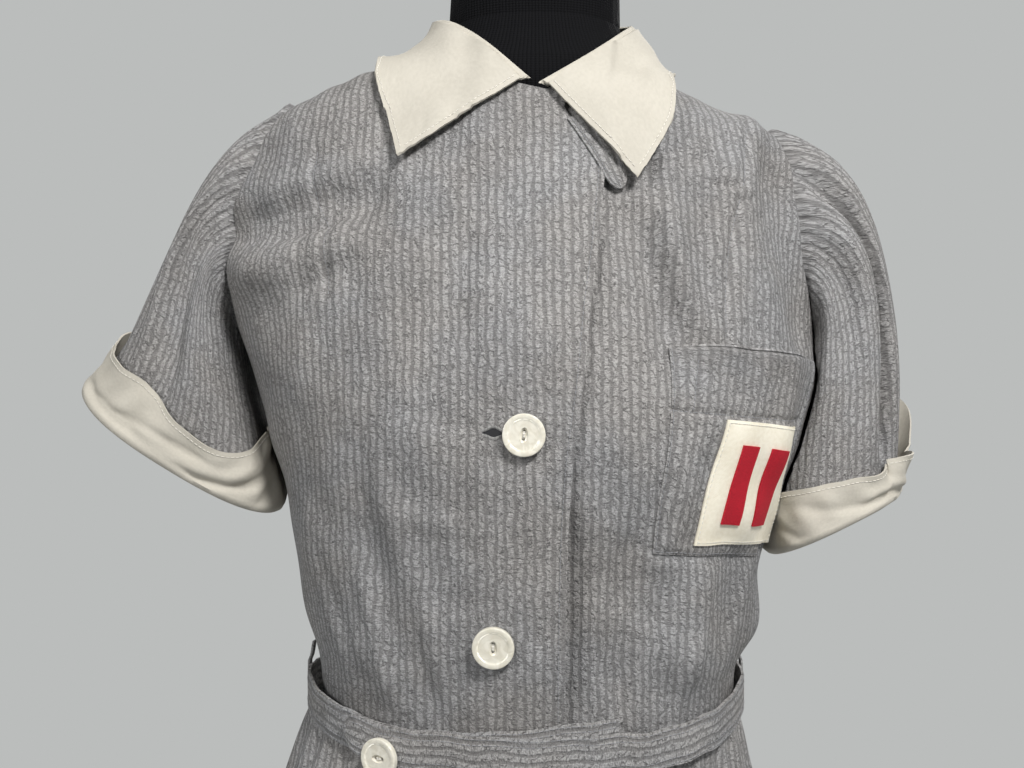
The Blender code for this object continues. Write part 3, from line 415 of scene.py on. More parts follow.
def bodice(z, angle, out=0.0):
    """Point of the dress above the waist, moved out along the bare surface's normal.

    Troughs deeper than DEEPEST_FREE level off, so that the cloth stays clear of the form.
    """
    z = np.asarray(z, dtype=float)
    angle = np.asarray(angle, dtype=float)
    bare = ring_point(BODY, z, angle)
    front = np.cos(np.radians(angle)) > 0
    folds = np.where(front, fold_height(FOLDS, bare[..., 0], z),
                     fold_height(BACK_FOLDS, bare[..., 0], z))
    for points, puff in ((TUCKS[0], 0.0009), (TUCKS[1], 0.0012), (POCKET_SEAM, 0.0004)):
        off = line_distance(points, bare[..., 0], z)
        folds = folds + front * (puff * gauss(off - 0.006, 0.005)
                                 - (0.0010 + 0.7 * puff) * gauss(off, SEAM_WIDTH))
    folds = folds + unrest(bare[..., 0] + 0.4 * (1 - front), z)
    folds = folds * np.clip(np.abs(np.cos(np.radians(angle))) * 4.0, 0.0, 1.0)
    folds = folds * step(WAIST_Z, WAIST_Z + 0.05, z)
    on_fly = front * np.exp(-(bare[..., 0] / 0.030)**4)
    folds = folds * (1.0 - 0.75 * on_fly)
    total = folds + out
    deeper = DEEPEST_FREE - DEEPER_BY * np.tanh((DEEPEST_FREE - total) / DEEPER_BY)
    total = np.where(total < DEEPEST_FREE, deeper, total)
    return bare + total[..., None] * surface_normal(BODY, z, angle)


def skirt(z, angle, out=0.0):
    """Point of the skirt, whose waves grow towards the hem, with small gathers at the waist."""
    z = np.asarray(z, dtype=float)
    angle = np.asarray(angle, dtype=float)
    bare = ring_point(SKIRT, z, angle)
    turn = np.radians(angle)
    depth = 0.013 * step(WAIST_Z, HEM_Z + 0.10, z) + 0.0016 * step(WAIST_Z, WAIST_Z - 0.03, z)
    waves = (np.cos(9.0 * turn + 0.6) + 0.55 * np.cos(5.0 * turn - 0.8)
             + 0.4 * np.cos(13.0 * turn + 1.9)) * depth
    gathers = 0.0011 * step(WAIST_Z, WAIST_Z - 0.02, z) * (1.0 - step(0.90, 0.80, z) * 0.8)
    waves = waves + gathers * (np.cos(41.0 * turn + 1.5 * np.sin(7.0 * turn))
                               + 0.6 * np.cos(27.0 * turn + 2.0))
    waves = waves * (1.0 - 0.8 * gauss(bare[..., 0], 0.045) * (bare[..., 1] < 0))
    return bare + (waves + out)[..., None] * surface_normal(SKIRT, z, angle)


def angle_at(rings, z, x):
    """Angle of the front point of the surface that lies at x."""
    wide = np.where(x < 0, curve(rings, 1, z), curve(rings, 2, z))
    return np.degrees(np.arcsin(np.sign(x) * (np.abs(x) / wide)**(ROUNDNESS / 2.0)))


def fly_raise(x):
    """How far the right front is moved out where it lies over the left front."""
    return FLY_RAISE * step(-0.046, -0.030, x)


def under_neck(points):
    """How far the left front is moved in where it lies under the right at the neck."""
    return 0.0009 * (1.0 - step(0.0, 0.03, points[..., 0])) * step(1.34, 1.37, points[..., 2])


GRAIN_ROWS = 160


def grain_table(rings):
    """Lengths over the bare surface round from the centre front and up from its lowest ring."""
    z, a = np.meshgrid(np.linspace(rings[0, 0], rings[-1, 0], GRAIN_ROWS),
                       np.linspace(-180, 180, 361), indexing="ij")
    points = ring_point(rings, z, a)
    around = np.linalg.norm(np.diff(points, axis=1), axis=-1).cumsum(axis=1)
    around = np.pad(around, ((0, 0), (1, 0)))
    up = np.pad(np.linalg.norm(np.diff(points, axis=0), axis=-1).cumsum(axis=0), ((1, 0), (0, 0)))
    return around - around[:, 180:181], up


def grain_of(rings, z, angle, centre=0.0):
    """Grain coordinates in metres: across from a centre line, and up."""
    tables = grain_table(rings)
    angle = (angle + 180.0) % 360.0 if centre == 0.0 else angle % 360.0
    share = (z - rings[0, 0]) / (rings[-1, 0] - rings[0, 0])
    row = np.clip(share * (GRAIN_ROWS - 1.0), 0.0, GRAIN_ROWS - 1.001)
    r = row.astype(int)
    column = np.clip(angle, 0.0, 359.999)
    c = column.astype(int)
    fr = row - r
    fc = column - c
    made = []
    for table in tables:
        if centre:
            table = np.concatenate([table[:, 180:], table[:, 1:181] + table[:, -1:]
                                    - table[:, :1]], axis=1)
        made.append((1 - fr) * ((1 - fc) * table[r, c] + fc * table[r, c + 1])
                    + fr * ((1 - fc) * table[r + 1, c] + fc * table[r + 1, c + 1]))
    return np.stack(made, axis=-1)


def cloth(name, points, grain, thickness, material, away=None, wrap=False):
    """Sheet of cloth from a grid of points, with grain as UV and its thickness laid inwards."""
    rows, columns = points.shape[:2]
    index = np.arange(rows * columns).reshape(rows, columns)
    if wrap:
        index = np.concatenate([index, index[:, :1]], axis=1)
    quads = np.stack([index[:-1, :-1], index[:-1, 1:], index[1:, 1:], index[1:, :-1]], axis=-1)
    corners = np.stack([grain[:-1, :-1], grain[:-1, 1:], grain[1:, 1:], grain[1:, :-1]], axis=2)
    flat = points.reshape(-1, 3)
    first = flat[quads[..., 0]]
    side = np.cross(flat[quads[..., 1]] - first, flat[quads[..., 3]] - first)
    away = points * [1.0, 1.0, 0.0] if away is None else away
    if np.sum(side * away.reshape(-1, 3)[quads[..., 0]]) < 0:
        quads = quads[..., ::-1]
        corners = corners[..., ::-1, :]
    mesh = bpy.data.meshes.new(name)
    mesh.from_pydata(flat.tolist(), [], quads.reshape(-1, 4).tolist())
    layer = mesh.uv_layers.new(name="grain")
    layer.data.foreach_set("uv", corners.reshape(-1).astype(np.float32))
    mesh.materials.append(material)
    piece = add_object(name, mesh)
    mesh.shade_smooth()
    bpy.ops.object.select_all(action="DESELECT")
    bpy.context.view_layer.objects.active = piece
    wall = piece.modifiers.new("wall", "SOLIDIFY")
    wall.thickness = thickness
    wall.offset = -1.0
    bpy.ops.object.modifier_apply(modifier="wall")
    mesh.set_sharp_from_angle(angle=math.radians(55.0))
    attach(piece, "root")
    return piece


# Thread: mercerised cotton, in the dress's grey and in white. Each stitch is a small plump rod
# that lies on the cloth along its line.
def thread_material(name, low, high):
    """Twisted cotton thread between two shades."""
    made, tree, shader = new_material(name, 0.7)
    shades(tree, shader, noise(tree, 1500.0), low, high)
    return made


grey_thread = thread_material("grey_cotton_thread", "#7A7A7C", "#A8A8AA")
white_thread = thread_material("white_cotton_thread", "#DAD5C9", "#F1EDE4")
STITCH = 0.0024
STITCH_PITCH = 0.0032
THREAD_R = 0.00026


def rods(name, starts, ends, ups, radius, material):
    """One mesh of small rods between pairs of points, fuller in the middle than at the ends."""
    along = unit(ends - starts)
    side = unit(np.cross(along, ups))
    over = np.cross(side, along)
    rings = []
    for share, size in ((0.0, 0.35), (0.18, 1.0), (0.82, 1.0), (1.0, 0.35)):
        middle = starts + (ends - starts) * share
        for turn in (0.25, 0.75, 1.25, 1.75):
            rings.append(middle + radius * size * (math.cos(turn * math.pi) * side
                                                   + math.sin(turn * math.pi) * over))
    points = np.stack(rings, axis=1)
    faces = [(3, 2, 1, 0), (12, 13, 14, 15)]
    for level in (0, 4, 8):
        faces += [(level + i, level + (i + 1) % 4, level + 4 + (i + 1) % 4, level + 4 + i)
                  for i in range(4)]
    faces = (np.arange(len(points))[:, None, None] * 16 + np.array(faces)[None]).reshape(-1, 4)
    mesh = bpy.data.meshes.new(name)
    mesh.from_pydata(points.reshape(-1, 3).tolist(), [], faces.tolist())
    mesh.shade_smooth()
    mesh.materials.append(material)
    piece = add_object(name, mesh)
    bm = bmesh.new()
    bm.from_mesh(mesh)
    bmesh.ops.recalc_face_normals(bm, faces=bm.faces)
    bm.to_mesh(mesh)
    bm.free()
    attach(piece, "root")


def way_along(points):
    """Distances along a line of points from its start."""
    return np.concatenate([[0.0], np.linalg.norm(np.diff(points, axis=0), axis=-1).cumsum()])


def sew(name, lines, material):
    """Rows of stitches along lines, each given as points and the way out from the cloth."""
    starts, ends, ups = [], [], []
    for points, outward in lines:
        way = way_along(points)
        places = np.arange(STITCH_PITCH / 2, way[-1] - STITCH, STITCH_PITCH)
        for at, bucket in ((places, starts), (places + STITCH, ends)):
            bucket.append(np.stack([np.interp(at, way, points[:, i]) for i in range(3)], axis=-1))
        ups.append(np.stack([np.interp(places, way, outward[:, i]) for i in range(3)], axis=-1))
    ups = unit(np.concatenate(ups))
    lift_up = ups * THREAD_R * 0.8
    rods(name, np.concatenate(starts) + lift_up, np.concatenate(ends) + lift_up, ups, THREAD_R,
         material)


# Bodice fronts: two panels of seersucker. The wearer's right one laps over the left, and its
# edge is turned in and stitched. Both are cut to the neck seam, shoulder, armhole and waist.
CLOTH_T = 0.0009
HEMMED_T = 0.0012
DOUBLED_T = 0.0015
PATCH_T = 0.0011
SLIT_T = 0.00015
UNDERARM_Z = 1.2346
TIP_SHIFT = {-1.0: 0.0100, 1.0: -0.0080}
SIDE_SEAM = 93.0
SHOULDER_SEAM = 73.0
SHOULDER_PULL = 0.35
UNDER_EDGE_X = -0.024
FLY_TOP_Z = 1.378
NECK_SWING = 0.026
NECK_TOP_Z = 1.384
EDGE_STITCH = 0.0045
SIDE_ROWS = 95
ARM_ROWS = 85
NECK_ROWS = 55
FLY_COLUMNS = 28
SIDE_COLUMNS = 136
PANEL_ROWS = SIDE_ROWS + ARM_ROWS
FRONT_EDGE = np.array([
    [0.370, 0.0200], [0.985, 0.0153], [1.072, 0.0153], [1.131, 0.0170], [1.169, 0.0200],
    [1.208, 0.0255], [1.251, 0.0300], [1.291, 0.0355], [1.342, 0.0410]])
NECKLINE = np.array([
    [-6.0, 1.3860], [5.0, 1.3960], [45.0, 1.4100], [73.0, 1.4260], [110.0, 1.4360],
    [180.0, 1.4420]])
ARMHOLE = np.array([
    [0.00, 1.2346, 93.0, 93.0], [0.22, 1.2480, 82.0, 104.0], [0.45, 1.2820, 74.0, 111.0],
    [0.68, 1.3250, 71.0, 113.0], [0.86, 1.3620, 71.0, 106.0], [1.00, 1.3840, 73.0, 73.0]])


def spread(first, last, count):
    """Grid of values from one edge to the other, a row for each edge value."""
    share = np.linspace(0.0, 1.0, count)
    return first[:, None] + (last - first)[:, None] * share[None, :]


def side_line(side, column):
    """Heights and angles of a panel's outer edge: side seam, then armhole to the shoulder."""
    seam_z = np.linspace(WAIST_Z + SEAM_GAP / 2, UNDERARM_Z, SIDE_ROWS + 1)[:-1]
    along = np.linspace(0.0, 1.0, ARM_ROWS)
    hole_z = curve(ARMHOLE, 1, along) + TIP_SHIFT[side] * along**2
    hole_a = curve(ARMHOLE, column, along)
    return np.concatenate([seam_z, hole_z]), side * np.concatenate(
        [np.full(SIDE_ROWS, SIDE_SEAM), hole_a])


def front_edge(z):
    """Where the right front's edge lies, which swings over to the neck at the top."""
    return curve(FRONT_EDGE, 1, z) - NECK_SWING * step(FRONT_EDGE[-1, 0], NECK_TOP_Z, z)


def fly_columns(rings, heights, count):
    """Angles of the columns that both fronts share where one lies over the other."""
    share = np.linspace(0.0, 1.0, count)[None, :]
    x = UNDER_EDGE_X + (front_edge(heights) - UNDER_EDGE_X)[:, None] * share
    return angle_at(rings, heights[:, None], x)


def front_panel(side):
    """Heights and angles of one bodice front's grid, from its front edge to its side."""
    fly_z = np.linspace(WAIST_Z + SEAM_GAP / 2, FLY_TOP_Z, PANEL_ROWS - NECK_ROWS)
    fly_a = fly_columns(BODY, fly_z, FLY_COLUMNS)
    if side < 0:
        fly_a = fly_a[:, ::-1]
    last_z, last_a = side_line(side, 2)
    fly_rows = len(fly_z)
    z = np.concatenate([np.repeat(fly_z[:, None], FLY_COLUMNS, axis=1),
                        spread(fly_z, last_z[:fly_rows], SIDE_COLUMNS + 1)[:, 1:]], axis=1)
    a = np.concatenate([fly_a, spread(fly_a[:, -1], last_a[:fly_rows], SIDE_COLUMNS + 1)[:, 1:]],
                       axis=1)
    share = (a[-1] - a[-1, 0]) / (a[-1, -1] - a[-1, 0])
    neck_a = np.linspace(-6.0 if side < 0 else 8.0, SHOULDER_SEAM, NECK_ROWS)
    neck_z = curve(NECKLINE, 1, neck_a)
    neck_a = side * neck_a
    z = np.concatenate([z, neck_z[:, None] + (last_z[fly_rows:] - neck_z)[:, None] * share])
    a = np.concatenate([a, neck_a[:, None] + (last_a[fly_rows:] - neck_a)[:, None] * share])
    return z, a


SEAM_DEPTH = 0.0009


def seam_dip(points, sides):
    """How far the cloth sinks to the seams on the named sides of a grid of points."""
    total = np.zeros(points.shape[:2])
    for axis, end in sides:
        spans = np.linalg.norm(np.diff(points, axis=axis), axis=-1)
        if end:
            spans = np.flip(spans, axis=axis)
        pad = [(0, 0), (0, 0)]
        pad[axis] = (1, 0)
        off = np.pad(np.cumsum(spans, axis=axis), pad)
        if end:
            off = np.flip(off, axis=axis)
        total = np.maximum(total, SEAM_DEPTH * gauss(off, SEAM_WIDTH))
    return -total


panel_points = {}
for node_name, side in (("bodice_front_right", -1.0), ("bodice_front_left", 1.0)):
    z, a = front_panel(side)
    a[-1] = a[-1] - side * SHOULDER_PULL * 0.3
    flat_points = bodice(z, a)
    past = flat_points[..., 0] - front_edge(z)
    low = (1.0 - step(1.08, 1.15, z)) * step(WAIST_Z + 0.005, WAIST_Z + 0.05, z)
    below_neck = 1.0 - step(1.34, 1.36, z)
    if side < 0:
        raised = fly_raise(flat_points[..., 0]) + 0.0020 * low * gauss(past, 0.026)
        raised = raised + below_neck * (0.0014 * gauss(past + 0.0022, 0.0024)
                                        - 0.0008 * gauss(past + 0.0047, 0.0013))
    else:
        raised = -under_neck(flat_points) - 0.0022 * below_neck * gauss(past, 0.0055)
        raised = raised - 0.0078 * low * gauss(past, 0.030)
    raised = raised + seam_dip(flat_points, [(1, True), (0, True)])
    points = bodice(z, a, raised)
    panel_points[node_name] = points
    piece = cloth(node_name + "_cloth", points, grain_of(BODY, z, a), HEMMED_T, seersucker)
    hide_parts(node_name)

# Bodice back: one panel, sewn to the fronts at the sides and at the shoulders.
BACK_HALF_COLUMNS = 76
BACK_NECK_ROWS = 40
centre_z = np.linspace(WAIST_Z + SEAM_GAP / 2, NECKLINE[-1, 1], PANEL_ROWS - BACK_NECK_ROWS)
neck_a = np.linspace(180.0, SHOULDER_SEAM, BACK_NECK_ROWS + 1)[1:]
first_z = np.concatenate([centre_z, curve(NECKLINE, 1, neck_a)])
halves = {}
for side in (-1.0, 1.0):
    first_a = side * np.concatenate([np.full(len(centre_z), 180.0), neck_a])
    last_z, last_a = side_line(side, 3)
    z = spread(first_z, last_z, BACK_HALF_COLUMNS)
    a = spread(first_a, last_a, BACK_HALF_COLUMNS)
    dip = seam_dip(bodice(z, a), [(1, True), (0, True)])
    halves[side] = (z, a, bodice(z, a, dip))
    panel_points["back", side] = halves[side][2]
z, a, points = (np.concatenate([np.flip(halves[-1.0][i], axis=1)[:, :-1], halves[1.0][i]], axis=1)
                for i in range(3))
piece = cloth("bodice_back_cloth", points, grain_of(BODY, z, a, 180.0), CLOTH_T, seersucker)
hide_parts("bodice_back")


def grid_normals(points, away=None, wrap=False):
    """Unit normals of a grid of points, on the side that the away vectors point to."""
    if wrap:
        along = np.roll(points, -1, axis=1) - np.roll(points, 1, axis=1)
    else:
        along = np.gradient(points, axis=1)
    normals = unit(np.cross(along, np.gradient(points, axis=0)))
    away = points * [1.0, 1.0, 0.0] if away is None else away
    return normals if np.sum(normals * away) > 0 else -normals


def inset_line(points, side, distance, start=0.0, end=1.0, away=None):
    """Line inside one side of a grid: 0 first row, 1 last row, 2 first column, 3 last column."""
    outward = grid_normals(points, away)
    if side > 1:
        points = np.swapaxes(points, 0, 1)
        outward = np.swapaxes(outward, 0, 1)
    if side % 2:
        points = points[::-1]
        outward = outward[::-1]
    count = points.shape[1]
    line = []
    ways = []
    for c in range(int(start * (count - 1)), int(end * (count - 1)) + 1):
        way = way_along(points[:, c])
        line.append([np.interp(distance, way, points[:, c, i]) for i in range(3)])
        ways.append([np.interp(distance, way, outward[:, c, i]) for i in range(3)])
    return np.array(line), unit(np.array(ways))


LINE_POINTS = 60


def front_line(places, rise=None):
    """Line on the dress's front through places of x and z, or raised over it, and the way out."""
    places = np.array(places)
    way = way_along(places)
    at = np.linspace(0.0, way[-1], LINE_POINTS)
    x = np.interp(at, way, places[:, 0])
    z = np.interp(at, way, places[:, 1])
    angle = angle_at(BODY, z, x)
    return bodice(z, angle, rise(x, z) if rise else 0.0), surface_normal(BODY, z, angle)


sew("front_stitching", [inset_line(panel_points["bodice_front_right"], 2, EDGE_STITCH, 0.0, 0.66),
                        front_line(TUCKS[0]), front_line(TUCKS[1])], grey_thread)


# Sleeves: short set-in sleeves of seersucker, eased into the armhole with small gathers over
# the shoulder. They hang empty, the wearer's right one pushed out and the left one straighter.
SLEEVES = {
    "right": {"side": -1.0, "centre": (-0.240, -0.002, 1.168), "outer": (-0.066, 0.0, 0.040),
              "back": (-0.002, 0.048, 0.015), "back_lift": 0.0, "cap": 0.0620, "drop": 0.016,
              "outer_pull": (0.052, 0.0, 0.0370), "inner_pull": (0.012, 0.0, 0.055),
              "cuff_front": 0.90, "cuff_side": 0.16, "flare": 0.0008, "room": 0.0066,
              "cuff_waves": [(1.75, -0.26, 0.5), (2.95, 0.35, 0.45)],
              "flat": (0.40, 0.19), "area": 0.055, "back_flare": 0.0, "cuff_folds": [
                  (1.75, 0.12, 3.05, 0.72, -0.0030, 0.09), (1.70, 0.30, 2.70, 0.85, 0.0016, 0.14),
                  (0.35, 0.22, 1.20, 0.16, -0.0026, 0.10), (0.90, 0.20, 1.70, 0.60, -0.0016, 0.10),
                  (2.40, 0.05, 2.75, 0.35, -0.0022, 0.10)],
              "folds": [(1.60, 1.80, 0.0060, 0.24), (2.30, 2.55, -0.0210, 0.42),
                        (1.15, 1.30, -0.0040, 0.14),
                        (0.65, 0.85, 0.0035, 0.12), (0.88, 1.12, -0.0045, 0.12),
                        (1.42, 1.50, 0.0024, 0.10), (3.9, 4.2, -0.0035, 0.2),
                        (4.6, 4.8, 0.0030, 0.2), (5.4, 5.3, -0.0030, 0.16)]},
    "left": {"side": 1.0, "centre": (0.205, 0.002, 1.114), "outer": (0.044, 0.008, 0.020),
             "back": (0.006, 0.062, -0.004), "back_lift": 0.052, "cap": 0.084, "drop": 0.000,
             "outer_pull": (-0.002, 0.0, 0.075), "inner_pull": (-0.010, 0.0, 0.070),
             "cuff_front": 0.72, "cuff_side": 0.05, "flare": 0.0070, "room": 0.0022,
             "cuff_waves": [(1.20, -0.20, 0.5), (2.60, 0.10, 0.4)],
             "flat": (0.42, 0.22), "area": 0.067, "back_flare": 0.013, "cuff_folds": [
                 (0.55, 0.10, 1.25, 0.28, -0.0034, 0.10), (0.50, 0.30, 1.20, 0.52, 0.0018, 0.14),
                 (1.30, 0.20, 2.20, 0.70, -0.0014, 0.12), (2.20, 0.10, 2.60, 0.50, -0.0018, 0.10)],
             "folds": [(0.62, 0.95, -0.0220, 0.12), (1.05, 1.30, 0.0045, 0.16),
                       (1.40, 1.55, -0.0030, 0.14), (1.80, 2.00, 0.0026, 0.16),
                       (2.45, 2.55, 0.0040, 0.30), (3.9, 4.1, -0.0035, 0.2),
                       (4.7, 4.8, 0.0030, 0.2), (5.5, 5.4, -0.0030, 0.16)]}}
CUFF_DEPTH = 0.037
SLEEVE_ROWS = 70
LEAST_ROOM = 0.0012
HIDDEN_CUFF_ROWS = 6

sample_z, sample_a = np.meshgrid(np.concatenate([np.linspace(0.99, 1.37, 90),
                                                 np.linspace(1.372, 1.448, 60)]),
                                 np.linspace(-180.0, 178.0, 180), indexing="ij")
sample_p = bodice(sample_z, sample_a)
sample_n = surface_normal(BODY, sample_z, sample_a)
on_lap = (np.abs(sample_a) < 40) * (sample_p[..., 0] < 0.05)
lap_out = fly_raise(sample_p[..., 0]) * on_lap
sample_p = (sample_p + lap_out[..., None] * sample_n).reshape(-1, 3)
sample_n = sample_n.reshape(-1, 3)
sample_tree = KDTree(len(sample_p))
for i, p in enumerate(sample_p):
    sample_tree.insert(p, i)
sample_tree.balance()


def lift(points, clearance):
    """Move points out so that each lies at least the clearance outside the dress."""
    flat = points.reshape(-1, 3).copy()
    room = np.broadcast_to(clearance, points.shape[:-1]).reshape(-1)
    for i, p in enumerate(flat):
        near = sample_tree.find(p)[1]
        outside = np.dot(p - sample_p[near], sample_n[near])
        if outside < room[i]:
            flat[i] = p + sample_n[near] * (room[i] - outside)
    return flat.reshape(points.shape)


def armhole_loop(side, reach):
    """Points round an armhole from the shoulder tip down the front and up the back."""
    loops = []
    for panel in (panel_points["bodice_front_right" if side < 0 else "bodice_front_left"],
                  panel_points["back", side]):
        edge = panel[SIDE_ROWS:, -1]
        loops.append(edge + unit(edge - panel[SIDE_ROWS:, -2]) * reach)
    front_loop, back_loop = loops
    tip = (front_loop[-1] + back_loop[-1]) / 2
    under = (front_loop[0] + back_loop[0]) / 2
    return np.concatenate([[tip], front_loop[-2:0:-1], [under], back_loop[1:-1]])


def sleeve_points(plan, loop, places):
    """Rows of points from the armhole loop to the sleeve's lower edge."""
    count = len(loop)
    turn = 2.0 * np.pi * np.arange(count) / count
    outward, backward = ((np.sign(part) * np.abs(part)**0.8)[:, None]
                         for part in (np.cos(turn), -np.sin(turn)))
    centre = np.array(plan["centre"])
    low = centre + np.array(plan["outer"]) * outward + np.array(plan["back"]) * backward
    low[:, 2] += plan["back_lift"] * np.clip(backward[:, 0], 0.0, 1.0)**1.5
    axis = unit(centre - loop.mean(axis=0))
    side = np.array([plan["side"], 0.0, 0.0])
    leave = (side * plan["cap"] * (0.45 + 0.55 * outward)
             + np.array([0.0, 0.018, 0.0]) * backward + axis * 0.020 * (1.0 - outward) / 2
             - np.array([0.0, 0.0, plan["drop"]]) * np.clip(outward, 0.0, 1.0))
    pull_one = loop + leave
    pull_two = (low + np.array(plan["outer_pull"]) * (1.0 + outward) / 2
                + np.array(plan["inner_pull"]) * (1.0 - outward) / 2)
    rows = []
    for k in places:
        k = np.broadcast_to(k, (count,))[:, None]
        row = ((1 - k)**3 * loop + 3 * k * (1 - k)**2 * pull_one
               + 3 * k**2 * (1 - k) * pull_two + k**3 * low)
        around = turn[:, None]
        swell = np.sin(math.pi * k)
        folds = (0.0022 * np.sin(3.0 * around + 0.5) + 0.0016 * np.sin(7.0 * around + 5.0 * k)
                 + 0.0012 * np.sin(12.0 * around - 7.0 * k + 1.0) * swell) * swell
        for turn_0, turn_1, height, width in plan["folds"]:
            off = around - turn_0 - (turn_1 - turn_0) * k
            off = (off + math.pi) % (2.0 * math.pi) - math.pi
            folds = folds + height * gauss(off, width) * np.sin(math.pi * k**0.8)
        rows.append(row + unit(row - row.mean(axis=0)) * folds)
    rows = np.array(rows)
    more_room = plan["room"] * step(0.0, 0.6, np.array([np.mean(k) for k in places]))
    clear = lift(rows, LEAST_ROOM + more_room[:, None])
    return np.where(more_room[:, None, None] > 0.00001, clear, rows)


def sleeve_grain(points, plan, tip):
    """Grain of a sleeve: the way round it low down, and straight down along its middle."""
    down = unit(np.array(plan["centre"]) - points[1].mean(axis=0))
    points = np.concatenate([points, points[:, :1]], axis=1)
    spans = np.linalg.norm(np.diff(points[-16:-2], axis=1), axis=-1).mean(axis=0)
    around = np.concatenate([[0.0], spans.cumsum()])
    around = around - around[ARM_ROWS - 1]
    low = (points - tip) @ unit(down * [1.0, 0.0, 1.0])
    return np.stack(np.broadcast_arrays(around[None, :], -low), axis=-1)


def tube_grain(points):
    """Grain of a tube of cloth: even shares of its mean way round, and the way down."""
    around = np.linalg.norm(np.roll(points, -1, axis=1) - points, axis=-1).mean(axis=0)
    u = np.concatenate([[0.0], around.cumsum()])
    down = np.linalg.norm(np.diff(points, axis=0), axis=-1).mean(axis=1).cumsum()
    v = np.concatenate([[0.0], down])
    return np.stack(np.broadcast_arrays(u[None, :], v[:, None]), axis=-1)


# The white cuffs are bands of firm cotton, sewn inside the sleeve's edge, turned up over it and
# left to stand off a little at the top.
def plain_cotton(name, low, high, weave, yarn=0.0007):
    """Plain-woven cotton between two shades, with its yarns drawn as coarse as they must be."""
    made, tree, shader = new_material(name, 0.86)
    where = add_node(tree, "ShaderNodeUVMap", uv_map="grain").outputs["UV"]
    axes = add_node(tree, "ShaderNodeSeparateXYZ", {"Vector": where})
    warp, weft = (math_node(tree, "SINE", math_node(tree, "MULTIPLY", axes.outputs[axis],
                                                    2 * math.pi / yarn)) for axis in "XY")
    yarns = math_node(tree, "MULTIPLY", warp, weft)
    slub = noise(tree, 420.0, 3.0, where)
    crush = noise(tree, 38.0, 4.0, where)
    height = weighted(tree, [(slub, 1.0), (yarns, weave), (crush, 3.0)])
    relief(tree, shader, height, 0.3, 0.0007)
    # The colour follows the slubs, which is the yarn's own tone, and the crush bump: paler on its
    # rises and darker in its hollows, which is painted shade.
    shades(tree, shader, weighted(tree, [(slub, 0.4), (crush, 0.6)]), low, high, 0.35, 0.65)
    return made


white_cotton = plain_cotton("white_plain_cotton", "#BAB4A7", "#C3BDB0", 0.12)

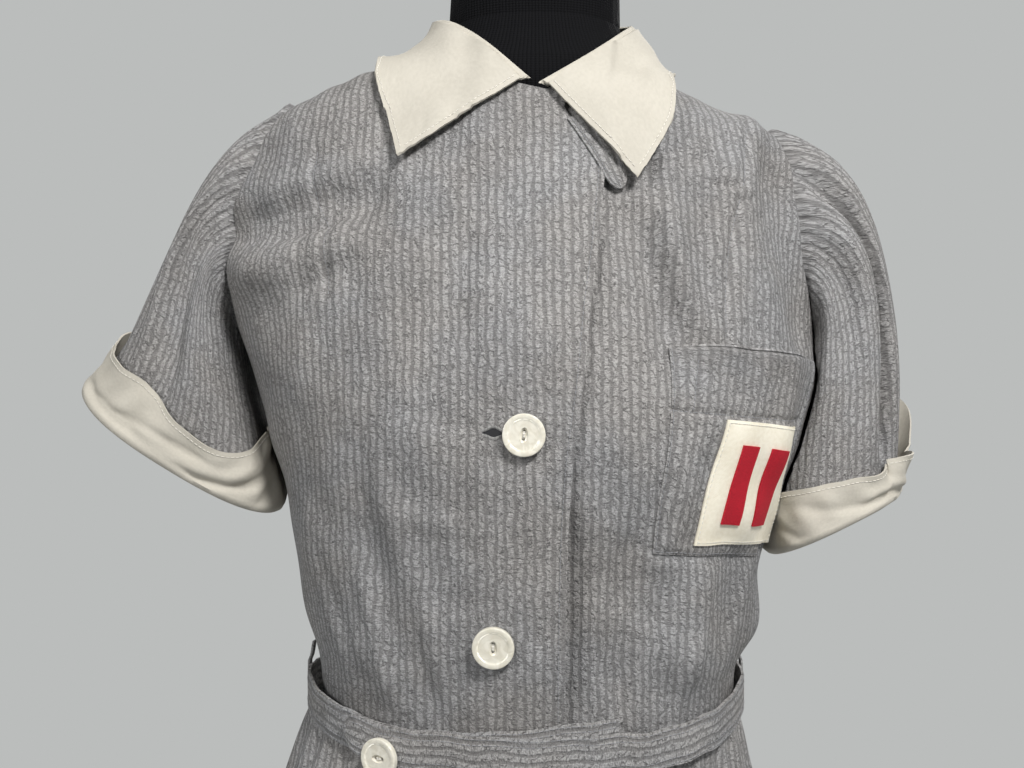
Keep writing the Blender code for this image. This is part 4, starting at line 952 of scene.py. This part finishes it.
for name, plan in SLEEVES.items():
    loop = armhole_loop(plan["side"], 0.0004)
    under_loop = armhole_loop(plan["side"], -0.0016)
    under_loop = under_loop - unit(under_loop * [1.0, 1.0, 0.0]) * 0.0016
    rough = sleeve_points(plan, loop, np.linspace(0.0, 1.0, 7))
    length = np.linalg.norm(np.diff(rough, axis=0), axis=-1).sum(axis=0)
    turn = 2.0 * np.pi * np.arange(len(loop)) / len(loop)
    behind = gauss(turn - 5.70, 0.5) * plan["back_flare"]
    depth = plan["cuff_front"] + plan["cuff_side"] * np.cos(turn) + 25.0 * behind
    for place, height, width in plan["cuff_waves"]:
        depth = depth + height * gauss(turn - place, width)
    share = CUFF_DEPTH / length * depth
    sleeve = sleeve_points(plan, loop, np.linspace(0.0, 1.0, SLEEVE_ROWS))
    normals = grid_normals(sleeve, sleeve - sleeve.mean(axis=1, keepdims=True), True)
    down = np.linalg.norm(np.diff(sleeve, axis=0), axis=-1).cumsum(axis=0)
    down = np.concatenate([np.zeros((1, len(loop))), down])
    cap = step(-0.1, 0.5, np.cos(turn))
    puffs = 0.0013 * np.cos(38.0 * turn + 1.6 * np.sin(5.0 * turn)) * cap
    puffs = puffs * np.exp(-down / 0.016) * step(0.0, 0.004, down)
    rise = 0.0012 * gauss(down - 0.006, 0.005)
    sleeve = sleeve + normals * (puffs + rise)[..., None]
    points = np.roll(np.concatenate([[under_loop], sleeve]), ARM_ROWS - 1, axis=1)
    grain = sleeve_grain(points, plan, sleeve[0, 0])
    piece = cloth(f"sleeve_{name}_cloth", points, grain, CLOTH_T, seersucker,
                  points - points.mean(axis=1, keepdims=True), True)
    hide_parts("sleeve_" + name)

    plan_rows = [(0.25, 0.0, -0.0019), (0.12, 0.0, -0.0019), (0.04, 0.0006, -0.0016),
                 (0.0, 0.0020, -0.0008), (0.0, 0.0026, 0.0006), (0.0, 0.0020, 0.0021)]
    plan_rows += [(t, 0.0, 0.0) for t in np.linspace(0.03, 1.0, 26)]
    flare = 0.0015 + plan["flare"] * np.clip(np.cos(turn + 0.5), 0, 1)
    base = 0.0029 + 0.0012 * np.clip(-np.cos(turn), 0, 1)
    bare = sleeve_points(plan, loop, [1.0 - share * t for t, _, _ in plan_rows])
    middle = bare.mean(axis=1, keepdims=True)
    outer_rows = bare[HIDDEN_CUFF_ROWS:]
    out_normal = grid_normals(outer_rows, outer_rows - middle[HIDDEN_CUFF_ROWS:], True)
    lower = unit(outer_rows[0] - outer_rows[3])
    rows = []
    for i, (t, drop, out) in enumerate(plan_rows):
        normal = out_normal[max(i - HIDDEN_CUFF_ROWS, 0)]
        if i >= HIDDEN_CUFF_ROWS:
            crush = 0.0010 * np.sin(6.0 * turn + 4.0 * t + plan["side"]) * t
            crush = crush + 0.0007 * np.sin(17.0 * turn - 6.0 * t) * math.sin(math.pi * t)
            for turn_0, t_0, turn_1, t_1, height, width in plan["cuff_folds"]:
                at = np.clip((turn - turn_0) / (turn_1 - turn_0), 0.0, 1.0)
                starting = step(turn_0 - 0.25, turn_0 + 0.1, turn)
                ending = step(turn_1 - 0.1, turn_1 + 0.25, turn)
                ridge = gauss(t - t_0 - (t_1 - t_0) * at, width)
                crush = crush + height * starting * (1.0 - ending) * ridge
            out = base + t**1.4 * flare + np.maximum(crush, -0.0022) + 0.0008 + t**1.5 * behind
        rows.append(bare[i] + lower * drop + normal * np.broadcast_to(out, turn.shape)[:, None])
    rows = np.array(rows)
    seen = rows[HIDDEN_CUFF_ROWS:]
    away_seen = grid_normals(seen, seen - middle[HIDDEN_CUFF_ROWS:], True)
    away = np.concatenate([np.zeros_like(rows[:HIDDEN_CUFF_ROWS]), away_seen])
    piece = cloth(f"cuff_{name}_cloth", rows, tube_grain(rows), HEMMED_T, white_cotton, away, True)
    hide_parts("cuff_" + name)
    seen, away_seen = (np.concatenate([grid, grid[:, :1]], axis=1) for grid in (seen, away_seen))
    sew(f"cuff_{name}_stitching", [inset_line(seen, 1, 0.0030, away=away_seen)], white_thread)


# Collar: one pointed collar of firm white cotton, doubled and turned, topstitched along its
# edges. It stands up from the neck seam, folds over and falls on the shoulders.
COLLAR = np.array([
    [0.00, -0.0069, -0.0830, 1.3990, -0.0830, -0.0830, 1.3400],
    [0.12, -0.0360, -0.0600, 1.4290, -0.0890, -0.0620, 1.3660],
    [0.24, -0.0590, -0.0300, 1.4490, -0.0930, -0.0320, 1.3890],
    [0.32, -0.0690, 0.0000, 1.4570, -0.0870, 0.0050, 1.4080],
    [0.39, -0.0650, 0.0300, 1.4640, -0.0870, 0.0480, 1.4060],
    [0.50, 0.0000, 0.0660, 1.4740, 0.0000, 0.1020, 1.3980],
    [0.61, 0.0630, 0.0300, 1.4620, 0.0820, 0.0480, 1.4000],
    [0.68, 0.0665, 0.0000, 1.4540, 0.0740, 0.0050, 1.4000],
    [0.76, 0.0580, -0.0320, 1.4410, 0.0750, -0.0300, 1.3860],
    [0.88, 0.0350, -0.0600, 1.4200, 0.0770, -0.0620, 1.3600],
    [1.00, 0.0030, -0.0840, 1.3960, 0.0580, -0.0880, 1.3270]])
COLLAR_COLUMNS = 201
STAND_ROWS = 8
FOLD_ROWS = 9
FALL_ROWS = 47
COLLAR_STITCH = 0.0035
station = np.linspace(0.0, 1.0, COLLAR_COLUMNS)
fold, edge = (np.stack([curve(COLLAR, i, station) for i in columns], axis=-1)
              for columns in ((1, 2, 3), (4, 5, 6)))
outward = unit((edge - fold) * np.array([1.0, 1.0, 0.0]))
foot_angle = np.degrees(np.arctan2(fold[:, 0], -fold[:, 1]))
seam = bodice(curve(NECKLINE, 1, np.abs(foot_angle)), foot_angle, -0.0002) + [0.0, 0.0, 0.0008]
stand_in, fold_out = (fold + outward * way * 0.0026 - [0.0, 0.0, 0.0015] for way in (-1.0, 1.0))
rows = [seam + (stand_in - seam) * t for t in np.linspace(0.0, 1.0, STAND_ROWS + 1)[:-1]]
over_fold = 2.0 * fold - (stand_in + fold_out) / 2.0
for t in np.linspace(0.0, 1.0, FOLD_ROWS):
    rows.append((1 - t)**2 * stand_in + 2 * t * (1 - t) * over_fold + t**2 * fold_out)
fall = []
for t in np.linspace(0.0, 1.0, FALL_ROWS + 1)[1:]:
    row = fold_out + (edge - fold_out) * t
    fall.append(lift(row, 0.0050 + 0.0040 * t**2 + 0.0014 * step(0.80, 0.90, station) * t))
fall = np.array(fall)
for _ in range(4):
    fall[1:-1, 1:-1] = (fall[1:-1, 1:-1] * 2 + fall[:-2, 1:-1] + fall[2:, 1:-1]
                        + fall[1:-1, :-2] + fall[1:-1, 2:]) / 6
points = np.concatenate([np.array(rows), fall])
down = np.linalg.norm(np.diff(points, axis=0), axis=-1).mean(axis=1).cumsum()
u, v = np.broadcast_arrays(way_along(edge)[None, :], np.concatenate([[0.0], down])[:, None])
facing = np.repeat([-1.0, 0.0, 1.0], [STAND_ROWS, FOLD_ROWS, FALL_ROWS])
away = np.broadcast_to(outward + [0.0, 0.0, 0.6], points.shape) * facing[:, None, None]
normals = grid_normals(points, away)
shape = 0.0007 * np.sin(60.0 * u + 25.0 * v) + 0.0005 * np.sin(110.0 * u - 70.0 * v + 1.0)
shape = shape * step(0.35, 0.6, np.linspace(0.0, 1.0, len(points)))[:, None]
points = points + normals * shape[..., None]
piece = cloth("collar_cloth", points, np.stack([u, v], axis=-1), DOUBLED_T, white_cotton, away)
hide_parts("collar")
sew("collar_stitching", [inset_line(points, side, COLLAR_STITCH, start, end, away)
                         for side, start, end in ((1, 0.01, 0.99), (2, 0.28, 0.97),
                                                  (3, 0.28, 0.97))], white_thread)


def blend_quad(values, u, v):
    """Value at shares u across and v down between a quad's four corner values."""
    return ((1 - v) * ((1 - u) * values[0] + u * values[1])
            + v * ((1 - u) * values[2] + u * values[3]))


def inside_quad(corners, u, v):
    """Place of x and z at shares u across and v down a quad."""
    return tuple(blend_quad(values, u, v) for values in zip(*corners))


def quad_places(corners, rows, columns, crowd=1.0):
    """Heights and angles of a grid on the front between corners of x and z."""
    v = np.linspace(0.0, 1.0, rows)[:, None]**crowd
    u = np.linspace(0.0, 1.0, columns)[None, :]
    angles = [float(angle_at(BODY, z, x)) for x, z in corners]
    return blend_quad([z for _, z in corners], u, v), blend_quad(angles, u, v)


def quad_grain(points):
    """Grain of a patch of cloth with its own sides as warp and weft."""
    wide = np.linalg.norm(points[0, -1] - points[0, 0])
    tall = np.linalg.norm(points[-1, 0] - points[0, 0])
    rows, columns = points.shape[:2]
    return np.stack(np.meshgrid(np.linspace(0.0, wide, columns), np.linspace(tall, 0.0, rows)),
                    axis=-1)


# Tab: the small rounded end of dress cloth that shows below the left wing of the collar.
TAB = ((0.0180, 1.3700), (0.0360, 1.3760), (0.0445, 1.3240), (0.0565, 1.3285))
TAB_ROWS = 40
TAB_TIP_ROWS = 8
z, a = quad_places(TAB, TAB_ROWS, 18)
points = bodice(z, a, FLY_RAISE + 0.0014)
middle = points.mean(axis=1, keepdims=True)
narrow = np.ones(TAB_ROWS)
narrow[-TAB_TIP_ROWS:] = np.sqrt(1.0 - np.linspace(0.0, 0.97, TAB_TIP_ROWS)**2)
points = middle + (points - middle) * narrow[:, None, None]
piece = cloth("collar_tab_cloth", points, quad_grain(points), HEMMED_T, seersucker)
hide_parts("collar_tab")
sew("collar_tab_stitching", [inset_line(points, side, 0.0022, 0.0, 0.8) for side in (2, 3)],
    grey_thread)


# Skirt: two fronts that lap like the bodice and one back, flared, joined at the sides, with
# small gathers under the belt and soft waves at the hem.
SKIRT_ROWS = 130
SKIRT_FLY_COLUMNS = 12
SKIRT_SIDE_COLUMNS = 76
SKIRT_BACK_COLUMNS = 150
skirt_z = WAIST_Z - 0.0014 - (WAIST_Z - 0.0014 - HEM_Z) * np.linspace(0.0, 1.0, SKIRT_ROWS)**1.3
skirt_fly = fly_columns(SKIRT, skirt_z, SKIRT_FLY_COLUMNS)
for node_name, side in (("skirt_front_right", -1.0), ("skirt_front_left", 1.0)):
    fly = skirt_fly[:, ::-1] if side < 0 else skirt_fly
    last = np.full(SKIRT_ROWS, side * (SIDE_SEAM - 0.03))
    a = np.concatenate([fly, spread(fly[:, -1], last, SKIRT_SIDE_COLUMNS + 1)[:, 1:]], axis=1)
    z = np.repeat(skirt_z[:, None], a.shape[1], axis=1)
    flat_points = skirt(z, a)
    raised = (fly_raise(flat_points[..., 0]) if side < 0 else 0.0) + seam_dip(flat_points, [(1, True)])
    points = skirt(z, a, raised)
    panel_points[node_name] = points
    piece = cloth(node_name + "_cloth", points, grain_of(SKIRT, z, a), HEMMED_T, seersucker)
    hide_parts(node_name)
sew("skirt_front_stitching", [inset_line(panel_points["skirt_front_right"], 2, EDGE_STITCH)],
    grey_thread)
a = spread(np.full(SKIRT_ROWS, SIDE_SEAM + 0.03), np.full(SKIRT_ROWS, 359.97 - SIDE_SEAM),
           SKIRT_BACK_COLUMNS)
z = np.repeat(skirt_z[:, None], SKIRT_BACK_COLUMNS, axis=1)
points = skirt(z, a, seam_dip(skirt(z, a), [(1, True), (1, False)]))
piece = cloth("skirt_back_cloth", points, grain_of(SKIRT, z, a, 180.0), CLOTH_T, seersucker)
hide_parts("skirt_back")


# Belt: one strap of doubled seersucker, with two rows of topstitching near each edge. It runs
# round the waist and laps over its own start, and is held by two loops at the sides.
BELT_H = 0.024
BELT_T = 0.0016
BELT_START = 18.0
BELT_TURN = 428.0
BELT_ROWS = 11
TIP_COLUMNS = 12
LOOP_ROWS = 36


def belt_line(angle):
    """Centre of the belt's inner face at an angle, and the level way out from it there."""
    height = WAIST_Z + 0.001 + (WAIST_SIDE_RISE - 0.003) * np.sin(np.radians(angle))**4
    waist = np.full_like(angle, WAIST_Z)
    way = unit(surface_normal(BODY, waist, angle) * [1.0, 1.0, 0.0])
    bare = ring_point(BODY, waist, angle)
    reach = np.zeros_like(angle)
    for shift in np.linspace(-0.35, 0.85, 7):
        surface = bodice if shift > 0 else skirt
        point = surface(waist + shift * BELT_H, angle, FLY_RAISE)
        reach = np.maximum(reach, np.sum((point - bare) * way, axis=-1))
    line = bare + way * (reach + 0.0008)[..., None]
    line[..., 2] = height
    return line, way


tip_run = np.sin(np.linspace(0.0, math.pi / 2, TIP_COLUMNS))
run = np.concatenate([np.linspace(0.0, 0.988, 460), 0.988 + 0.012 * tip_run[1:]])
belt_angle = (BELT_START - BELT_TURN * run + 180.0) % 360.0 - 180.0
line, way = belt_line(belt_angle)
for _ in range(6):
    line[1:-1] = (line[1:-1] * 2 + line[:-2] + line[2:]) / 4
over = 0.0026 * step(0.74, 0.80, run)
half = np.full(len(run), BELT_H / 2)
half[-TIP_COLUMNS:] = BELT_H / 2 * np.sqrt(1.0 - np.clip(tip_run, 0.0, 0.97)**2)
tilt = 0.008 * (1.0 - step(0.0, 0.10, run))
heights = np.linspace(-1.0, 1.0, BELT_ROWS)
points = np.repeat((line + way * (over + BELT_T)[:, None])[None], BELT_ROWS, axis=0)
sway = 0.0006 * np.sin(90.0 * run) + 0.0004 * np.sin(210.0 * run + 1.0)
points[..., 2] += heights[:, None] * half[None, :] + (tilt + sway)[None, :]
points += way[None] * (0.0004 * (1.0 - heights**2))[:, None, None]
u, v = np.broadcast_arrays(heights[:, None] * BELT_H / 2, way_along(line)[None, :])
away = np.broadcast_to(way, points.shape)
piece = cloth("belt_cloth", points, np.stack([u, v], axis=-1), BELT_T, seersucker, away)
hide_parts("belt")
sew("belt_stitching", [inset_line(points, side, inset, 0.0, 0.985, away)
                       for side in (0, 1) for inset in (0.0016, 0.0050)]
    + [inset_line(points, 3, 0.0022, 0.1, 0.9, away)], grey_thread)

for name, side in (("right", -1.0), ("left", 1.0)):
    line, way = belt_line(side * SIDE_SEAM + np.linspace(-1.6, 1.6, 5))
    at = np.linspace(0.0, 5.0, LOOP_ROWS)
    rises = np.interp(at, range(6), [-0.0160, -0.0135, 0.0, 0.0125, 0.0165, 0.0260])
    outs = np.interp(at, range(6), [0.0010, 0.0046, 0.0049, 0.0046, 0.0030, 0.0014])
    points = np.repeat(line[None], LOOP_ROWS, axis=0) + way[None] * outs[:, None, None]
    points[..., 2] += rises[:, None]
    piece = cloth(f"belt_loop_{name}_cloth", points, quad_grain(points), HEMMED_T, seersucker)
    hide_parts("belt_loop_" + name)


# Pocket: a patch pocket of seersucker with its edges turned in and topstitched, a stitched hem
# band across the top and a short line of stitches there that parts off a slot for a pen.
PATCH = ((0.1100, 1.1860), (0.1640, 1.1800), (0.0915, 1.1110), (0.1480, 1.1040))
BAND_SHARE = 0.31
SLOT_SHARE = 0.17
BAND_LINE = [inside_quad(POCKET, 0.0, BAND_SHARE), inside_quad(POCKET, 1.0, BAND_SHARE)]
SLOT_LINE = [inside_quad(POCKET, SLOT_SHARE, 0.07), inside_quad(POCKET, SLOT_SHARE, BAND_SHARE)]


def pocket_rise(x, z):
    """How far the pocket's face stands off the front, least at its sewn sides."""
    top_left, top_right = POCKET[:2]
    off = line_distance(POCKET_SEAM, x, z)
    rise = 0.0013 + 0.0020 * step(0.0, 0.022, off) - 0.0006 * gauss(off - 0.0020, 0.0012)
    band = line_distance(BAND_LINE, x, z)
    slot = line_distance(SLOT_LINE, x, z)
    rise = rise - 0.0013 * gauss(band, 0.0019) - 0.0008 * gauss(slot, 0.0020)
    mouth = line_distance([top_left, top_right], x, z)
    corner = np.hypot(x - top_right[0], z - top_right[1])
    rise = rise + 0.0024 * gauss(mouth, 0.011) * (0.7 + 0.3 * np.sin(130.0 * x))
    rise = rise + 0.0035 * gauss(corner, 0.017) - 0.0020 * gauss(mouth, 0.0010)
    wave = 0.0005 * np.sin(150.0 * x + 40.0 * z) + 0.0004 * np.sin(260.0 * x - 90.0 * z)
    return rise + wave * step(0.0, 0.015, off)


def over_pocket(corners, rows, columns, more, crowd=1.0):
    """Grid of points between corners of x and z, raised over the pocket's face."""
    z, a = quad_places(corners, rows, columns, crowd)
    return bodice(z, a, pocket_rise(ring_point(BODY, z, a)[..., 0], z) + more)


points = over_pocket(POCKET, 110, 80, 0.0, 1.5)
piece = cloth("pocket_cloth", points, quad_grain(points), DOUBLED_T, seersucker)
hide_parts("pocket")
sew("pocket_stitching",
    [inset_line(points, side, 0.0016) for side in (2, 3, 1)] + [
        front_line(BAND_LINE, pocket_rise),
        front_line([inside_quad(POCKET, SLOT_SHARE, 0.05), SLOT_LINE[1]], pocket_rise)],
    grey_thread)

# Badge patch: cream cotton twill sewn on the pocket, with two plain bars of red wool felt.
cream_twill = plain_cotton("cream_cotton_twill", "#EAE1CB", "#F5EEDC", 0.35, yarn=0.0010)
points = over_pocket(PATCH, 48, 42, 0.0013)
piece = cloth("patch_cloth", points, quad_grain(points), PATCH_T, cream_twill)
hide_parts("patch")
sew("patch_stitching", [inset_line(points, side, 0.0018) for side in range(4)], white_thread)

red_felt, tree, shader = new_material("red_wool_felt", 0.95)
where = add_node(tree, "ShaderNodeTexCoord").outputs["Object"]
hairs = noise(tree, 1400.0, 5.0, where, distortion=1.5)
relief(tree, shader, hairs, 0.8, 0.0006)
shades(tree, shader, hairs, "#A30A1E", "#C8122B")
for number, (low, high) in enumerate(((0.24, 0.44), (0.58, 0.78)), start=1):
    bar = tuple(inside_quad(PATCH, u, v) for u, v in ((low, 0.18), (high, 0.18),
                                                      (low, 0.82), (high, 0.82)))
    points = over_pocket(bar, 36, 12, 0.0025)
    piece = cloth(f"patch_bar_{number}_felt", points, quad_grain(points), PATCH_T, red_felt)
    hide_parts(f"patch_bar_{number}")


# Buttons: turned from pearl-like white casein, with a raised rim, a dish, a small oval recess
# and two holes, sewn on through both with white thread.
BUTTON_R = 0.0125
BUTTON_T = 0.0040
RIM_WIDTH = 0.0026
DISH_DEPTH = 0.0007
HOLE_OFFSET = 0.0021
HOLE_R = 0.0010
BUTTON_PLACES = [(-0.0090, 1.1775), (-0.0265, 1.0531), (-0.0200, 0.9270),
                 (-0.0190, 0.8010), (-0.0180, 0.6750), (-0.0170, 0.5490)]
pearl, tree, shader = new_material("polished_pearl_casein", 0.22)
shader.inputs["Coat Weight"].default_value = 0.35
shader.inputs["Coat Roughness"].default_value = 0.12
shader.inputs["Subsurface Weight"].default_value = 0.15
shader.inputs["Subsurface Radius"].default_value = (0.002, 0.0018, 0.0015)
where = add_node(tree, "ShaderNodeTexCoord").outputs["Object"]
shades(tree, shader, noise(tree, 130.0, 3.0, where, distortion=2.0), "#D8D2C1", "#E8E3D5")


def carve(piece, cutter):
    """Cut a solid out of a piece and remove the cutter."""
    cut = piece.modifiers.new("cut", "BOOLEAN")
    cut.operation = "DIFFERENCE"
    cut.object = cutter
    bpy.context.view_layer.objects.active = piece
    bpy.ops.object.modifier_apply(modifier="cut")
    bpy.data.objects.remove(cutter, do_unlink=True)


bpy.ops.object.select_all(action="DESELECT")
bpy.ops.mesh.primitive_cylinder_add(vertices=56, radius=BUTTON_R, depth=BUTTON_T,
                                    location=(0.0, 0.0, BUTTON_T / 2))
button = bpy.context.object
bpy.ops.object.transform_apply(location=True, rotation=False, scale=False)
bpy.ops.object.mode_set(mode="EDIT")
bpy.ops.mesh.select_mode(type="FACE")
bm = bmesh.from_edit_mesh(button.data)
for face in bm.faces:
    face.select = False
for face in bm.faces:
    if face.normal.z > 0.9:
        face.select = True
bm.select_flush_mode()
bmesh.update_edit_mesh(button.data)
bpy.ops.mesh.inset(thickness=RIM_WIDTH)
bpy.ops.mesh.inset(thickness=0.0012)
bpy.ops.transform.translate(value=(0.0, 0.0, -DISH_DEPTH))
bpy.ops.mesh.inset(thickness=0.0030)
bpy.ops.transform.translate(value=(0.0, 0.0, -0.0001))
bpy.ops.object.mode_set(mode="OBJECT")
soften = button.modifiers.new("soften", "BEVEL")
soften.width = 0.0007
soften.segments = 3
soften.angle_limit = math.radians(25.0)
bpy.ops.object.modifier_apply(modifier="soften")
bpy.ops.mesh.primitive_uv_sphere_add(segments=24, ring_count=14, radius=1.0,
                                     location=(0.0, 0.0, BUTTON_T - 0.0012))
bpy.context.object.scale = (0.0026, 0.0048, 0.0011)
carve(button, bpy.context.object)
for offset in (-HOLE_OFFSET, HOLE_OFFSET):
    bpy.ops.mesh.primitive_cylinder_add(vertices=18, radius=HOLE_R, depth=0.02,
                                        location=(0.0, offset, 0.0))
    carve(button, bpy.context.object)
button.data.materials.append(pearl)
button.data.shade_smooth()
button.data.set_sharp_from_angle(angle=math.radians(38.0))
button_mesh = button.data
bpy.data.objects.remove(button, do_unlink=True)


THREAD_SIDES = (-0.00035, 0.00035)
THREAD_PATH = ((-0.0023, 0.0008), (-0.0017, 0.0022), (0.0, 0.0026), (0.0017, 0.0022),
               (0.0023, 0.0008))


def place_button(node_name, seat, facing, roll):
    """A copy of the button with its back on a point, and its thread through both holes."""
    turn = Vector(facing).to_track_quat("Z", "Y").to_matrix().to_4x4()
    whole = Matrix.Translation(Vector(seat)) @ turn @ Matrix.Rotation(roll, 4, "Z")
    mesh = button_mesh.copy()
    mesh.name = node_name
    mesh.transform(whole)
    piece = add_object(node_name + "_pearl", mesh)
    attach(piece, "root")
    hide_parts(node_name)
    strands = [[whole @ Vector((side, y, h)) for y, h in THREAD_PATH] for side in THREAD_SIDES]
    starts = np.array([p for strand in strands for p in strand[:-1]])
    ends = np.array([p for strand in strands for p in strand[1:]])
    ups = np.broadcast_to(np.array(facing), starts.shape)
    rods(node_name + "_thread", starts, ends, ups, 0.00042, white_thread)


def on_right_front(x, z, out):
    """Points at places of x and z on the right front, moved out, and the way out there."""
    surface, rings = (bodice, BODY) if np.min(z) > WAIST_Z else (skirt, SKIRT)
    angle = angle_at(rings, z, x)
    return surface(z, angle, fly_raise(x) + out), surface_normal(rings, z, angle)


BUTTON_SPAN = 0.008
for number, (x, z) in enumerate(BUTTON_PLACES, start=1):
    across = x + BUTTON_SPAN * np.array([0.0, 1.0, -1.0, 0.0, 0.0])
    up = z + BUTTON_SPAN * np.array([0.0, 0.0, 0.0, 1.0, -1.0])
    p = on_right_front(across, up, 0.0)[0]
    facing = unit(np.cross(p[1] - p[2], p[3] - p[4]))
    place_button(f"button_{number}", p[0] + facing * 0.0006, facing, 0.12 * math.sin(5.0 * number))
BELT_BUTTON = (-0.0900, 0.9800)
seat_line, seat_way = belt_line(np.array([float(angle_at(BODY, WAIST_Z, BELT_BUTTON[0]))]))
seat = seat_line[0] + seat_way[0] * (2 * BELT_T + 0.0016)
seat[2] = BELT_BUTTON[1]
place_button("button_belt", seat, seat_way[0], math.pi / 2)


# Buttonholes: a slit across the overlap under each button, its lips bound with close stitches. The
# opening is a thin dark sheet laid on the cloth: painted shadow.
hole_shade, tree, shader = new_material("painted_shade_inside_slit", 0.95)
shades(tree, shader, noise(tree, 900.0), "#1C1C1E", "#343436")
lip_thread = thread_material("pale_buttonhole_thread", "#8E8D8B", "#B4B2AF")
SLIT_POINTS = 34
LIP_WIDTH = 0.0019
share = np.linspace(0.0, 1.0, SLIT_POINTS)
starts, ends, ups, slit_shadows = [], [], [], []
for number, (x, z) in enumerate(BUTTON_PLACES):
    left, right = (x - 0.0010, x + 0.0140) if number == 1 else (x - 0.0240, x + 0.0030)
    at_x = np.linspace(left, right, SLIT_POINTS)
    at_z = z + 0.0012 + 0.0002 * np.sin(9.0 * share)
    middle, wide = (0.86, 0.0012) if number == 1 else (0.24, 0.0022 if number == 0 else 0.0006)
    gap = 0.0003 + wide * gauss(share - middle, 0.14)
    for side in (-1.0, 1.0):
        starts.append(on_right_front(at_x, at_z + side * gap, 0.0003)[0])
        outer, outward = on_right_front(at_x, at_z + side * (gap + LIP_WIDTH), 0.0003)
        ends.append(outer)
        ups.append(outward)
    slit_shadows.append(np.array([on_right_front(at_x, at_z + side * gap, 0.0002)[0]
                           for side in (1.0, 0.0, -1.0)]))
rods("buttonhole_stitching", np.concatenate(starts), np.concatenate(ends),
     np.concatenate(ups), 0.00034, lip_thread)
# Each slit's dark sheet is a painted shadow of the opening, not a cut in the cloth.
for number, shadow_strip in enumerate(slit_shadows, start=1):
    u, v = np.broadcast_arrays(np.linspace(0, 1, SLIT_POINTS)[None, :],
                               np.linspace(0, 1, 3)[:, None])
    piece = cloth(f"buttonhole_{number}_slit", shadow_strip, np.stack([u, v], axis=-1), SLIT_T,
                  hole_shade)


# The picture keeps plain studio tones, so the whites and greys read as the cloth's own.
bpy.context.scene.view_settings.view_transform = "Standard"

low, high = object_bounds()
